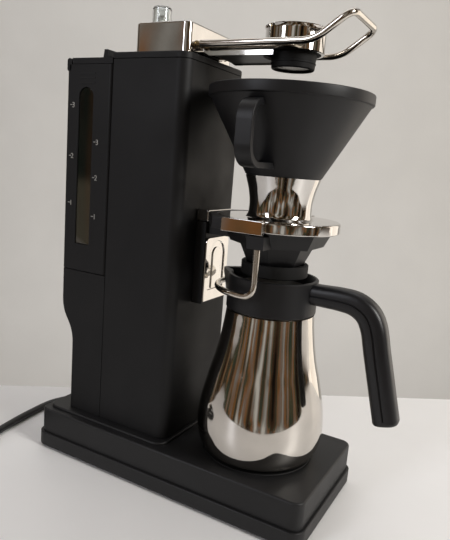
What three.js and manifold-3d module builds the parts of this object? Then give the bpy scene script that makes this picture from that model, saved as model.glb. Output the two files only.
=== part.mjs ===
// A compact pour-over coffee brewer: a slim tower with a lift-off water tank stands on a low base,
// a hinged arm showers an open cone dripper, and the coffee drains into an insulated steel server.
// Millimetres, +Z up. It is laid out from the middle of the base, with X across the machine,
// -Y to the front, where the server stands, and +Y to the back, where the tank stands.
import * as THREE from "three";
import { mergeVertices } from "three/addons/utils/BufferGeometryUtils.js";
import Module from "manifold-3d";

const wasm = await Module();
wasm.setup();

// ---- driving dimensions --------------------------------------------------------------------------
const FIT = 0.3; // gap between two parts that sit in or on each other
const RUN = 0.5; // gap round a part that moves
const WALL = 2.2; // moulded wall

// base
const BASE_WIDTH = 117.6;
const BASE_DEPTH = 252;
const FOOT_HEIGHT = 1.5;
const FOOT_RADIUS = 7;
const FOOT_INSET = 13;
const PAN_HEIGHT = 12.3;
const PAN_LEDGE = 2.2;
const HOUSING_HEIGHT = 21.3;
const BASE_CORNER = 10;
const PLINTH_RISE = 2.2;
const PLINTH_MARGIN = 7;
const PLINTH_FRONT = 3.3;
const PAD_RADIUS = 43.6;
const PAD_RISE = 0.2;
const PAD_RECESS = 0.8;

// tower
const TOWER_WIDTH = 88;
const TOWER_DEPTH = 66.7;
const TOWER_FRONT = 0.3;
const TOWER_CORNER = 9;
const TOP_PLATE = 4.7;
const SPINE = 2.4;
const SPINE_INSET = 2.6;

// rear cover and tank
const REAR_DEPTH = 47.2;
const REAR_CORNER = 3;
const WAIST_DEPTH = 34.7;
const REAR_HEIGHT = 123;
const WAIST_HEIGHT = 57.7;
const BULGE_HEIGHT = 98.7;
const TANK_BELOW_TOWER = 3.6;
const LID_THICKNESS = 4.5;
const LID_RIDGE = 5.8;
const LID_RIDGE_WIDTH = 5.5;
const LID_RIDGE_INSET = 4;
const WINDOW_WIDTH = 15;
const WINDOW_BOTTOM = 22.4;
const WINDOW_TOP = 147.4;
const WINDOW_FROM_FRONT = 18.2;
const WINDOW_SINK = 0.8;
const WINDOW_THICKNESS = 1.4;
const VALVE_FROM_FRONT = 22.2;
const VALVE_BORE = 5;
const VALVE_LIFT = 1.2;

// boiler and water way
const BOILER_RADIUS = 20;
const BOILER_HEIGHT = 60;
const BOILER_BOTTOM = 60;
const BOILER_FROM_FRONT = 35.7;
const PORT_RADIUS = 4;
const HOSE_RADIUS = 4;

// head box and arm
const BOX_WIDTH = 65.4;
const BOX_DEPTH = 49.3;
const BOX_HEIGHT = 23;
const BOX_SETBACK = 7.5;
const BOX_WALL = 1.6;
const BOX_CORNER = 5;
const CAP_RADIUS = 7.6;
const CAP_WALL = 1.4;
const CAP_RISE = 15.2;
const CAP_OFFSET = 13;
const CAP_FROM_FRONT = 39.2;
const HINGE_FORWARD = 3.8;
const HINGE_RISE = 7.5;
const HINGE_PIN = 1.6;
const HINGE_EAR = 3.3;
const ARM_WIDTH = 41;
const ARM_DROP = 6.9;
const ARM_WALL = 1.5;
const ARM_ABOVE_PIN = 2.9;
const SHOWER_REACH = 61.3;
const SHOWER_RADIUS = 21.5;
const SHOWER_WALL = 2.2;
const SHOWER_HEIGHT = 17.2;
const SHOWER_LIP = 0.9;
const NOZZLE_TOP = 16.3;
const NOZZLE_TIP = 15.5;
const NOZZLE_DROP = 10.8;
const NOZZLE_CLEARANCE = 14.9; // nozzle to the dripper's rim
const SHOWER_RAISE = 3.6;
const NOZZLE_BORE = 13.6;
const LOOP_ROD = 2.4;
const LOOP_HALF_WIDTH = 27.5;
const LOOP_STRAIGHT = 90;
const LOOP_RISE = 17.5;
const LOOP_RUN_OUT = 24;
const LOOP_CORNER = 9;

// bracket, fork and drip valve
const AXIS_REACH = 62.3; // tower front to the dripper's axis
const BRACKET_WIDTH = 35;
const BRACKET_DEPTH = 9.3;
const BRACKET_DROP = 66.2;
const BRACKET_CAP = 8.8;
const FACE_PLATE = 1.4;
const FACE_HEIGHT = 51;
const FACE_SLOT_HALF = 8.5;
const DRIP_GAP = 1.1; // server's collar to the drip ring
const HOLDER_RIM = 41;
const HOLDER_STEP = 35.5;
const HOLDER_STEP_DROP = 11.2;
const HOLDER_LOWER = 29;
const HOLDER_TIP = 22;
const HOLDER_HEIGHT = 25.4;
const HOLDER_FLOOR = 2.5;
const HOLDER_MOUTH = 33;
const HOLDER_BORE = 2.6;
const DRIP_RING_RADIUS = 25.5;
const DRIP_RING_WALL = 3;
const DRIP_RING_HEIGHT = 9.3;
const PRONG_THICKNESS = 3.8;
const PRONG_HEIGHT = 9.5;
const PRONG_REACH = 10;
const WIRE_RADIUS = 2.3;
const WIRE_HALF_WIDTH = 42;
const WIRE_PIVOT_DROP = 8.2;
const WIRE_DROP = 38;
const WIRE_BACK = 38;
const WIRE_BEND = 8;
const WIRE_LEG_BACK = 4;

// dripper
const DISC_RADIUS = 45.8;
const DISC_HEIGHT = 8;
const CONE_RIM = 59.6;
const CONE_HEIGHT = 60.5;
const CONE_BAND = 7.6;
const CONE_BAND_STEP = 1.6;
const STEM_HEIGHT = 30.2;
const CONE_BOTTOM_RADIUS = 28.3;
const CONE_WALL = 2.6;
const OUTLET_RADIUS = 6;
const OUTLET_BORE = 3.6;
const WAIST_WALL = 1.2;
const WAIST_RADIUS = 23.4;
const STRAP_REACH = 70;
const STRAP_WIDTH = 12;
const STRAP_THICKNESS = 4.2;
const STRAP_RISE = 5;
const STRAP_BELOW_RIM = 11;
const STRAP_CORNER = 9;

// server
const SERVER_BELLY = 50.1;
const SERVER_FOOT = 38;
const SERVER_NECK = 34.3;
const SERVER_NECK_HEIGHT = 112;
const SERVER_WALL = 1.2;
const VACUUM_GAP = 2.2;
const COLLAR_RADIUS = 34.6;
const COLLAR_HEIGHT = 29.5;
const COLLAR_BORE = 29.3;
const SPOUT_REACH = 44;
const SPOUT_HALF_WIDTH = 15;
const SPOUT_WALL = 2.4;
const GRIP_WIDTH = 18;
const GRIP_THICKNESS = 19;
const GRIP_ROOT = 15.6;
const GRIP_OUT = 71;
const GRIP_DROP = 81;
const GRIP_LEAN = 28;
const GRIP_CAP = 4;

// control board, power switch, cord and plug
const BOARD = { half: 26, y0: 15, y1: 65, bottom: 20, thickness: 1.6 };
const SWITCH_FROM_PAN = 10.7;
const SWITCH_Y = 40;
const SWITCH_LENGTH = 20;
const SWITCH_HEIGHT = 13;
const ROCKER_TILT = 7;
const CORD_RADIUS = 3.25;
const CORD_EXIT_X = 24;
const CORD_EXIT_Z = 8.8;
const RELIEF_LENGTH = 22;
const RELIEF_NECK = 4.4;
const COIL_RADIUS = 36;
const COIL_TURNS_ACROSS = 3;
const COIL_LAYERS = 2;
const COIL_X = -108.5;
const COIL_Y = 198;
const PLUG = { length: 26, width: 24, height: 16, tail: 16, blade: 16, bladeSpread: 6.35 };
// The lead's run on the table, from the strain relief to the coil.
const CORD_ROUTE = [
  [24, 148.3, 8.8],
  [23.4, 155.5, 7.5],
  [19.5, 163, 5],
  [13, 168.5, 3.7],
  [4, 171.6, 3.45],
  [-8, 172, 3.4],
  [-22, 171, 3.4],
  [-38, 169.3, 3.4],
  [-54, 166.8, 3.4],
  [-74.2, 162.9, 3.4],
];

// ---- levels and lines worked out from them -------------------------------------------------------
const halfBase = BASE_WIDTH / 2;
const halfDepth = BASE_DEPTH / 2;
const panTop = FOOT_HEIGHT + PAN_HEIGHT;
const deck = panTop + HOUSING_HEIGHT;
const plinthTop = deck + PLINTH_RISE;
const padTop = deck + PAD_RISE;
const switchZ = panTop + SWITCH_FROM_PAN;

// The server's height sets the drip holder's, and so the dripper's, the shower's and the tower's.
const axisY = TOWER_FRONT - AXIS_REACH;
const serverBottom = padTop + FIT;
const neckTop = serverBottom + SERVER_NECK_HEIGHT;
const collarBottom = neckTop + FIT;
const collarTop = collarBottom + COLLAR_HEIGHT;
const holderTop = collarTop + DRIP_GAP + DRIP_RING_HEIGHT + HOLDER_HEIGHT;
const bracketBottom = holderTop - BRACKET_DROP;
const wireY = axisY - WIRE_LEG_BACK;
const discBottom = holderTop + FIT;
const discTop = discBottom + DISC_HEIGHT;
const coneBottom = discTop + STEM_HEIGHT + FIT;
const coneTop = coneBottom + CONE_HEIGHT;
const strapBottom = coneBottom + STRAP_RISE;
const strapTop = coneTop - STRAP_BELOW_RIM;
const showerBottom = coneTop + NOZZLE_CLEARANCE + NOZZLE_DROP;
const armBottom = showerBottom - SHOWER_RAISE;
const hingeZ = armBottom + ARM_DROP;
const armTop = hingeZ + ARM_ABOVE_PIN;
const boxBottom = hingeZ - HINGE_RISE;
const boxTop = boxBottom + BOX_HEIGHT;
const plateTop = boxBottom;
const towerTop = plateTop - TOP_PLATE - FIT;

const towerHalf = TOWER_WIDTH / 2;
const towerBack = TOWER_FRONT + TOWER_DEPTH;
const spineFront = towerBack - SPINE_INSET - SPINE;
const rearFront = towerBack + FIT;
const rearBack = rearFront + REAR_DEPTH;
const shelfTop = plinthTop + REAR_HEIGHT;
const tankBottom = shelfTop + RUN;
const tankFront = rearFront + RUN;
const tankTop = towerTop - TANK_BELOW_TOWER;
const tankFloor = tankBottom + WALL;
const valveY = rearFront + VALVE_FROM_FRONT;
const boilerY = TOWER_FRONT + BOILER_FROM_FRONT;
const boilerTop = BOILER_BOTTOM + BOILER_HEIGHT;
const boxFront = TOWER_FRONT + BOX_SETBACK;
const hingeY = boxFront - HINGE_FORWARD;
const showerY = TOWER_FRONT - SHOWER_REACH;

// ---- shape helpers -------------------------------------------------------------------------------
const group = new THREE.Group();
const cordGroup = new THREE.Group();
group.add(cordGroup);

const FINISH = {
  housing: { color: 0x2b2b2c, roughness: 0.55, metalness: 0 },
  base: { color: 0x3a3a3b, roughness: 0.5, metalness: 0 },
  plastic: { color: 0x1c1c1d, roughness: 0.45, metalness: 0 },
  chrome: { color: 0xc9c2b6, roughness: 0.12, metalness: 1 },
  steel: { color: 0xbdb6ab, roughness: 0.2, metalness: 1 },
  rubber: { color: 0x161616, roughness: 0.85, metalness: 0 },
  clear: { color: 0xdfe6e6, roughness: 0.05, metalness: 0, transparent: true, opacity: 0.4 },
  white: { color: 0xeeeeea, roughness: 0.5, metalness: 0 },
  copper: { color: 0xb87346, roughness: 0.3, metalness: 1 },
  board: { color: 0x2d6a45, roughness: 0.6, metalness: 0 },
  silicone: { color: 0xd8d4cb, roughness: 0.6, metalness: 0 },
  brass: { color: 0xb08d4f, roughness: 0.3, metalness: 1 },
};

// Adds one named part with its own material.
function part(name, finish, geometry, parent = group) {
  const mesh = new THREE.Mesh(geometry, new THREE.MeshStandardMaterial(FINISH[finish]));
  mesh.name = name;
  parent.add(mesh);
  return mesh;
}

// A closed geometry as a solid that can be joined and cut.
function solid(geometry) {
  const bare = geometry.clone();
  bare.deleteAttribute("normal");
  bare.deleteAttribute("uv");
  const merged = mergeVertices(bare, 1e-3);
  return new wasm.Manifold(
    new wasm.Mesh({
      numProp: 3,
      vertProperties: merged.attributes.position.array,
      triVerts: new Uint32Array(merged.index.array),
    }),
  );
}

function geometryOf(manifold) {
  const mesh = manifold.getMesh();
  const geometry = new THREE.BufferGeometry();
  geometry.setAttribute("position", new THREE.BufferAttribute(new Float32Array(mesh.vertProperties), 3));
  geometry.setIndex(new THREE.BufferAttribute(new Uint32Array(mesh.triVerts), 1));
  geometry.computeVertexNormals();
  return geometry;
}

const join = (first, ...others) =>
  geometryOf(others.reduce((sum, g) => sum.add(solid(g)), solid(first)));
const cut = (first, ...tools) =>
  geometryOf(tools.reduce((rest, g) => rest.subtract(solid(g)), solid(first)));
const common = (a, b) => geometryOf(solid(a).intersect(solid(b)));

// A box between two corners.
function block(x0, x1, y0, y1, z0, z1) {
  const box = new THREE.BoxGeometry(x1 - x0, y1 - y0, z1 - z0);
  return box.translate((x0 + x1) / 2, (y0 + y1) / 2, (z0 + z1) / 2);
}

// The two ends, low then high, of a span from a to b on the side s (-1 or 1).
const span = (s, a, b) => (s * a < s * b ? [s * a, s * b] : [s * b, s * a]);

// A plan with a radius of its own at the front (low) and back (high) corners.
function roundedPlan(x0, x1, y0, y1, front, back = front) {
  const plan = new THREE.Shape();
  plan.moveTo(x0 + front, y0);
  plan.lineTo(x1 - front, y0);
  plan.absarc(x1 - front, y0 + front, front, -Math.PI / 2, 0);
  plan.lineTo(x1, y1 - back);
  plan.absarc(x1 - back, y1 - back, back, 0, Math.PI / 2);
  plan.lineTo(x0 + back, y1);
  plan.absarc(x0 + back, y1 - back, back, Math.PI / 2, Math.PI);
  plan.lineTo(x0, y0 + front);
  plan.absarc(x0 + front, y0 + front, front, Math.PI, 1.5 * Math.PI);
  return plan;
}

function polygon(points) {
  return new THREE.Shape(points.map(([a, b]) => new THREE.Vector2(a, b)));
}

const AXES = {
  X: [new THREE.Vector3(0, 1, 0), new THREE.Vector3(0, 0, 1), new THREE.Vector3(1, 0, 0)],
  Y: [new THREE.Vector3(0, 0, 1), new THREE.Vector3(1, 0, 0), new THREE.Vector3(0, 1, 0)],
  Z: [new THREE.Vector3(1, 0, 0), new THREE.Vector3(0, 1, 0), new THREE.Vector3(0, 0, 1)],
};

// A shape pushed along an axis from one level to another. Across X it is drawn as (y, z),
// across Y as (z, x) and across Z as (x, y). An edge above 0 bevels both ends by that much.
function prism(axis, shape, from, to, curveSegments = 5, edge = 0) {
  const geometry = new THREE.ExtrudeGeometry(shape, {
    depth: to - from - 2 * edge,
    steps: 1,
    curveSegments,
    bevelEnabled: edge > 0,
    bevelThickness: edge,
    bevelSize: edge,
    bevelOffset: -edge,
    bevelSegments: 2,
  });
  geometry.translate(0, 0, from + edge);
  return geometry.applyMatrix4(new THREE.Matrix4().makeBasis(...AXES[axis]));
}

// A closed profile of (radius, height) pairs spun round a vertical line.
function revolve(profile, x, y, segments = 28) {
  const points = profile.map(([r, z]) => new THREE.Vector2(r, z));
  const counterclockwise = THREE.ShapeUtils.area(points) > 0;
  const ordered = counterclockwise ? points : points.slice().reverse();
  const onAxis = ordered.some((p) => p.x < 1e-9);
  if (onAxis) {
    while (!(ordered[0].x < 1e-9 && ordered[ordered.length - 1].x < 1e-9)) ordered.push(ordered.shift());
  } else {
    ordered.push(ordered[0].clone());
  }
  return new THREE.LatheGeometry(ordered, segments).rotateX(Math.PI / 2).translate(x, y, 0);
}

const disc = (x, y, radius, z0, z1, segments = 20) =>
  revolve([[0, z0], [radius, z0], [radius, z1], [0, z1]], x, y, segments);

const ring = (x, y, inner, outer, z0, z1, segments = 24) =>
  revolve([[inner, z0], [outer, z0], [outer, z1], [inner, z1]], x, y, segments);

// A round bar across the machine.
function crossBar(x0, x1, y, z, radius, sides = 16) {
  return new THREE.CylinderGeometry(radius, radius, x1 - x0, sides)
    .rotateZ(Math.PI / 2)
    .translate((x0 + x1) / 2, y, z);
}

// A round rod along a path.
function rod(path, radius, sides, steps) {
  const section = new THREE.Shape();
  for (let i = 0; i < sides; i++) {
    const angle = (2 * Math.PI * i) / sides;
    const place = [radius * Math.cos(angle), radius * Math.sin(angle)];
    if (i === 0) section.moveTo(...place);
    else section.lineTo(...place);
  }
  return new THREE.ExtrudeGeometry(section, { extrudePath: path, steps, bevelEnabled: false });
}

const vector = ([x, y, z]) => new THREE.Vector3(x, y, z);
const smoothPath = (points) => new THREE.CatmullRomCurve3(points.map(vector), false, "centripetal");

// A path of straight lines whose corners are rounded.
function bentPath(corners, radius) {
  const points = corners.map(vector);
  const path = new THREE.CurvePath();
  let start = points[0];
  for (let i = 1; i < points.length - 1; i++) {
    const back = points[i - 1].clone().sub(points[i]).normalize().multiplyScalar(radius);
    const on = points[i + 1].clone().sub(points[i]).normalize().multiplyScalar(radius);
    const before = points[i].clone().add(back);
    const after = points[i].clone().add(on);
    path.add(new THREE.LineCurve3(start, before));
    path.add(new THREE.QuadraticBezierCurve3(before, points[i], after));
    start = after;
  }
  path.add(new THREE.LineCurve3(start, points[points.length - 1]));
  return path;
}

// ---- base ----------------------------------------------------------------------------------------
function makeBase() {
  for (const [i, sx, sy] of [[1, -1, -1], [2, 1, -1], [3, -1, 1], [4, 1, 1]]) {
    const x = sx * (halfBase - FOOT_INSET);
    const y = sy * (halfDepth - FOOT_INSET);
    part(`foot_${i}`, "rubber", disc(x, y, FOOT_RADIUS, 0, FOOT_HEIGHT, 20));
  }

  const rim = PAN_LEDGE + WALL;
  const floor = FOOT_HEIGHT + WALL;
  const basePlan = roundedPlan(-halfBase, halfBase, -halfDepth, halfDepth, BASE_CORNER);
  const outer = prism("Z", basePlan, FOOT_HEIGHT, panTop);
  const inner = prism(
    "Z",
    roundedPlan(rim - halfBase, halfBase - rim, rim - halfDepth, halfDepth - rim, BASE_CORNER - rim),
    floor,
    panTop + 1,
  );
  const glandHole = new THREE.CylinderGeometry(RELIEF_NECK + FIT, RELIEF_NECK + FIT, 3 * rim, 20).translate(
    CORD_EXIT_X,
    halfDepth,
    CORD_EXIT_Z,
  );
  const postTop = BOARD.bottom - FIT;
  const posts = [-1, 1].flatMap((sx) =>
    [BOARD.y0 + 5, BOARD.y1 - 5].map((y) => disc(sx * (BOARD.half - 5), y, 2.5, floor - 1, postTop, 10)),
  );
  part("base_pan", "base", join(cut(outer, inner, glandHole), ...posts));

  const side = halfBase - PAN_LEDGE;
  const end = halfDepth - PAN_LEDGE;
  const corner = BASE_CORNER - PAN_LEDGE;
  const skin = prism("Z", roundedPlan(-side, side, -end, end, corner), panTop, deck);
  const hollow = prism(
    "Z",
    roundedPlan(WALL - side, side - WALL, WALL - end, end - WALL, corner - WALL),
    panTop - 1,
    deck - WALL,
  );
  const plinthHalf = towerHalf + PLINTH_MARGIN;
  const plinthBack = halfDepth - PAN_LEDGE - PLINTH_FRONT;
  const plinth = prism(
    "Z",
    roundedPlan(-plinthHalf, plinthHalf, TOWER_FRONT - PLINTH_FRONT, plinthBack, BASE_CORNER),
    deck - 1,
    plinthTop,
  );
  const cableWay = block(-20, 20, 45, 60, deck - WALL - 1, plinthTop + 1);
  const padSeat = disc(0, axisY, PAD_RADIUS + FIT, deck - PAD_RECESS, deck + 1, 36);
  const switchHole = block(
    side - WALL - 1,
    side + 1,
    SWITCH_Y - SWITCH_LENGTH / 2 - FIT,
    SWITCH_Y + SWITCH_LENGTH / 2 + FIT,
    switchZ - SWITCH_HEIGHT / 2 - FIT,
    switchZ + SWITCH_HEIGHT / 2 + FIT,
  );
  part("base_housing", "base", cut(join(cut(skin, hollow), plinth), cableWay, padSeat, switchHole));
  part("server_pad", "rubber", disc(0, axisY, PAD_RADIUS, deck - PAD_RECESS, padTop, 36));
}

function makeBoard() {
  const top = BOARD.bottom + BOARD.thickness;
  const plate = block(-BOARD.half, BOARD.half, BOARD.y0, BOARD.y1, BOARD.bottom, top);
  const relay = block(-20, -6, 20, 36, top - 0.5, top + 8);
  const transformer = block(2, 21, 22, 40, top - 0.5, top + 9);
  part("control_board", "board", join(plate, relay, transformer));
}

// ---- power switch in the right side of the base --------------------------------------------------

function makeSwitch() {
  const wall = halfBase - PAN_LEDGE;
  const body = block(
    wall - 11,
    wall + FIT,
    SWITCH_Y - SWITCH_LENGTH / 2,
    SWITCH_Y + SWITCH_LENGTH / 2,
    switchZ - SWITCH_HEIGHT / 2,
    switchZ + SWITCH_HEIGHT / 2,
  );
  const flange = block(
    wall + FIT,
    wall + 1.5,
    SWITCH_Y - SWITCH_LENGTH / 2 - 1.5,
    SWITCH_Y + SWITCH_LENGTH / 2 + 1.5,
    switchZ - SWITCH_HEIGHT / 2 - 1.5,
    switchZ + SWITCH_HEIGHT / 2 + 1.5,
  );
  const rockerHalf = SWITCH_LENGTH / 2 - 2.2;
  const rockerHigh = SWITCH_HEIGHT / 2 - 2;
  const well = block(
    wall - 8,
    wall + 3,
    SWITCH_Y - rockerHalf - 0.9,
    SWITCH_Y + rockerHalf + 0.9,
    switchZ - rockerHigh - RUN,
    switchZ + rockerHigh + RUN,
  );
  part("switch_frame", "plastic", cut(join(body, flange), well));

  // The rocker turns about an upright line 4.5 mm inside the wall, and rests on its "off" side.
  const outline = polygon([
    [0, -rockerHalf],
    [6.2, -rockerHalf],
    [5.3, 0],
    [6.2, rockerHalf],
    [0, rockerHalf],
    [-2, 3],
    [-2, -3],
  ]);
  const rocker = prism("Z", outline, -rockerHigh, rockerHigh)
    .rotateZ(THREE.MathUtils.degToRad(ROCKER_TILT))
    .translate(wall - 4.5, SWITCH_Y, switchZ);
  part("power_rocker", "plastic", rocker);
}

// ---- tower ---------------------------------------------------------------------------------------
function makeTower() {
  const inner = towerHalf - WALL;
  const shell = prism(
    "Z",
    roundedPlan(-towerHalf, towerHalf, TOWER_FRONT, towerBack + TOWER_CORNER, TOWER_CORNER),
    plinthTop,
    towerTop,
    6,
  );
  const room = prism(
    "Z",
    roundedPlan(-inner, inner, TOWER_FRONT + WALL, towerBack + 2 * TOWER_CORNER, TOWER_CORNER - WALL),
    plinthTop - 1,
    towerTop + 1,
    6,
  );
  const past = towerHalf + 1;
  const behind = block(-past, past, towerBack, towerBack + 20, plinthTop - 2, towerTop + 2);
  part("tower_shell", "housing", cut(shell, room, behind));

  const plate = prism(
    "Z",
    roundedPlan(-towerHalf, towerHalf, TOWER_FRONT, towerBack, TOWER_CORNER, 1),
    towerTop + FIT,
    plateTop,
    6,
  );
  const riserHole = disc(0, boilerY, PORT_RADIUS + RUN, towerTop - 1, plateTop + 1, 20);
  part("top_plate", "housing", cut(plate, riserHole));

  const spineHalf = inner - FIT;
  const spine = block(-spineHalf, spineHalf, spineFront, spineFront + SPINE, plinthTop, towerTop - FIT);
  const hoseNotch = block(
    -HOSE_RADIUS - 2,
    HOSE_RADIUS + 2,
    spineFront - 1,
    spineFront + SPINE + 1,
    plinthTop - 1,
    BOILER_BOTTOM - 3,
  );
  part("tower_spine", "steel", cut(spine, hoseNotch));
}

// The rear cover's side view: straight up from the base, then out to the tank in an S-curve.
function rearOutline(depthIn, front, bottom, top) {
  const back = rearBack - depthIn;
  const waist = rearFront + WAIST_DEPTH - depthIn;
  const low = plinthTop + WAIST_HEIGHT;
  const high = plinthTop + BULGE_HEIGHT;
  const outline = new THREE.Shape();
  outline.moveTo(front, bottom);
  outline.lineTo(waist, bottom);
  outline.lineTo(waist, low);
  outline.bezierCurveTo(waist, low + 22, back, high - 22, back, high);
  outline.lineTo(back, top);
  outline.lineTo(front, top);
  outline.closePath();
  return outline;
}

function makeRearCover() {
  const outer = prism("X", rearOutline(0, rearFront, plinthTop, shelfTop), -towerHalf, towerHalf, 8);
  const corners = prism(
    "Z",
    roundedPlan(-towerHalf, towerHalf, rearFront - 5, rearBack, 1, REAR_CORNER),
    plinthTop - 1,
    shelfTop + 1,
    3,
  );
  const room = prism(
    "X",
    rearOutline(WALL, rearFront - 1, plinthTop - 1, shelfTop - WALL),
    WALL - towerHalf,
    towerHalf - WALL,
    8,
  );
  const seatHole = disc(0, valveY, VALVE_BORE + 3.6 + FIT, shelfTop - WALL - 1, shelfTop + 1, 24);
  part("rear_cover", "housing", cut(common(outer, corners), room, seatHole));
}

// ---- boiler and water way ------------------------------------------------------------------------
function makeBoiler() {
  const bottom = BOILER_BOTTOM;
  const profile = [
    [0, bottom],
    [BOILER_RADIUS - 2, bottom],
    [BOILER_RADIUS, bottom + 2],
    [BOILER_RADIUS, boilerTop - 2],
    [BOILER_RADIUS - 2, boilerTop],
    [PORT_RADIUS + 1.5, boilerTop],
    [PORT_RADIUS + 1.5, boilerTop + 6],
    [0, boilerTop + 6],
  ];
  const lug = block(-12, 12, boilerY + BOILER_RADIUS - 4, spineFront - FIT, bottom + 20, bottom + 40);
  const riserSocket = disc(0, boilerY, PORT_RADIUS + FIT, boilerTop, boilerTop + 7, 20);
  const hoseSocket = disc(0, boilerY, HOSE_RADIUS + RUN, bottom - 1, bottom + 8, 20);
  part("boiler", "steel", cut(join(revolve(profile, 0, boilerY, 32), lug), riserSocket, hoseSocket));
  part("thermal_cutout", "plastic", disc(12, boilerY + 4, 4.5, boilerTop, boilerTop + 5, 16));
  part(
    "riser_tube",
    "copper",
    ring(0, boilerY, PORT_RADIUS - 1.2, PORT_RADIUS, boilerTop + FIT, boxBottom + BOX_WALL + 4, 20),
  );

  const seatOuter = VALVE_BORE + 3.6;
  const seat = revolve(
    [
      [HOSE_RADIUS - 1.6, shelfTop - 16],
      [HOSE_RADIUS, shelfTop - 16],
      [HOSE_RADIUS, shelfTop - 8],
      [seatOuter + 3.5, shelfTop - 5.2],
      [seatOuter + 3.5, shelfTop - WALL - FIT],
      [seatOuter, shelfTop - WALL - FIT],
      [seatOuter, shelfTop],
      [VALVE_BORE, shelfTop],
      [VALVE_BORE, shelfTop - 6],
      [HOSE_RADIUS - 1.6, shelfTop - 8],
    ],
    0,
    valveY,
    24,
  );
  const bridgeHalf = VALVE_BORE + 1;
  const bridge = block(-bridgeHalf, bridgeHalf, valveY - 0.8, valveY + 0.8, shelfTop - 5, shelfTop - 2.4);
  part("tank_seat", "plastic", join(seat, bridge));

  const hosePath = smoothPath([
    [0, valveY, shelfTop - 16.3],
    [0, valveY, shelfTop - 30],
    [0, valveY - 4, shelfTop - 60],
    [0, valveY - 8, BOILER_BOTTOM + 6],
    [0, valveY - 18, BOILER_BOTTOM - 9],
    [0, spineFront, BOILER_BOTTOM - 13],
    [0, boilerY + 8, BOILER_BOTTOM - 13],
    [0, boilerY + 0.6, BOILER_BOTTOM - 6],
    [0, boilerY, BOILER_BOTTOM],
    [0, boilerY, BOILER_BOTTOM + 5],
  ]);
  part("inlet_hose", "silicone", rod(hosePath, HOSE_RADIUS, 8, 30));
}

// ---- water tank ----------------------------------------------------------------------------------
function makeTank() {
  const earWidth = 3.6;
  const pinRadius = 1;
  const hinge = { y: rearBack - 2.3, z: tankTop + FIT + LID_THICKNESS / 2 };

  const plan = roundedPlan(-towerHalf, towerHalf, tankFront, rearBack, REAR_CORNER);
  const roomHalf = towerHalf - WALL;
  const roomPlan = roundedPlan(-roomHalf, roomHalf, tankFront + WALL, rearBack - WALL, REAR_CORNER - 1);
  const windowY = tankFront + WINDOW_FROM_FRONT;
  const windowShape = (gap) => {
    const y0 = windowY + gap;
    const y1 = windowY + WINDOW_WIDTH - gap;
    const middle = (y0 + y1) / 2;
    const arch = (y1 - y0) / 2;
    const shape = new THREE.Shape();
    shape.moveTo(y0, tankBottom + WINDOW_BOTTOM + gap);
    shape.lineTo(y1, tankBottom + WINDOW_BOTTOM + gap);
    shape.lineTo(y1, tankBottom + WINDOW_TOP - arch - gap);
    shape.absarc(middle, tankBottom + WINDOW_TOP - arch - gap, arch, 0, Math.PI);
    return shape;
  };
  const bore = crossBar(-towerHalf + 1.2, towerHalf - 1.2, hinge.y, hinge.z, pinRadius + FIT, 12);
  const ears = [-1, 1].map((s) => {
    const outline = roundedPlan(hinge.y - 2.2, hinge.y + 2.2, tankTop - 1, hinge.z + 2.2, 0.5, 2);
    const inside = s * (towerHalf - earWidth - 0.4);
    const outside = s * (towerHalf - 0.4);
    return prism("X", outline, Math.min(inside, outside), Math.max(inside, outside), 4);
  });
  const shell = cut(
    prism("Z", plan, tankBottom, tankTop, 3),
    prism("Z", roomPlan, tankFloor, tankTop + 1, 3),
    prism("X", windowShape(0), -towerHalf - 1, WALL + 1 - towerHalf, 8),
    disc(0, valveY, VALVE_BORE, tankBottom - 1, tankFloor + 1, 24),
  );
  part("tank_shell", "housing", cut(join(shell, ...ears), bore));

  const glassOuter = WINDOW_SINK - towerHalf;
  part("tank_window", "clear", prism("X", windowShape(FIT), glassOuter, glassOuter + WINDOW_THICKNESS, 8));

  // The lid turns about a pin along its back edge and has a finger ridge at its front edge.
  const lidBottom = tankTop + FIT;
  const lidTop = lidBottom + LID_THICKNESS;
  const lidFront = tankFront + 0.2;
  const ridgeFront = lidFront + LID_RIDGE_INSET;
  const side = new THREE.Shape();
  side.moveTo(lidFront, lidBottom);
  side.lineTo(hinge.y, lidBottom);
  side.absarc(hinge.y, hinge.z, LID_THICKNESS / 2, -Math.PI / 2, Math.PI / 2);
  side.lineTo(ridgeFront + LID_RIDGE_WIDTH, lidTop);
  side.lineTo(ridgeFront + LID_RIDGE_WIDTH - 1, lidTop + LID_RIDGE);
  side.lineTo(ridgeFront + 1.4, lidTop + LID_RIDGE);
  side.lineTo(ridgeFront, lidTop);
  side.lineTo(lidFront, lidTop);
  side.closePath();
  const notches = [-1, 1].map((s) => {
    const [x0, x1] = span(s, towerHalf - earWidth - 0.4 - RUN, towerHalf + 1);
    return block(x0, x1, hinge.y - 3.2, rearBack + 1, lidBottom - 1, lidTop + 1);
  });
  const lidHalf = towerHalf - 0.2;
  part("tank_lid", "housing", cut(prism("X", side, -lidHalf, lidHalf, 5), bore, ...notches));
  part("lid_pin", "steel", crossBar(-towerHalf + 1.5, towerHalf - 1.5, hinge.y, hinge.z, pinRadius, 12));

  // The valve is held open by the seat's bridge, and drops shut when the tank is lifted.
  const head = tankFloor + VALVE_LIFT + FIT;
  part(
    "tank_valve",
    "silicone",
    revolve(
      [
        [0, shelfTop - 2.4 + FIT],
        [2.2, shelfTop - 2.4 + FIT],
        [2.2, head],
        [VALVE_BORE + 1.6, head],
        [VALVE_BORE + 1.6, head + 2],
        [2.2, head + 3],
        [2.2, head + 8],
        [0, head + 8],
      ],
      0,
      valveY,
      20,
    ),
  );
}

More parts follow.
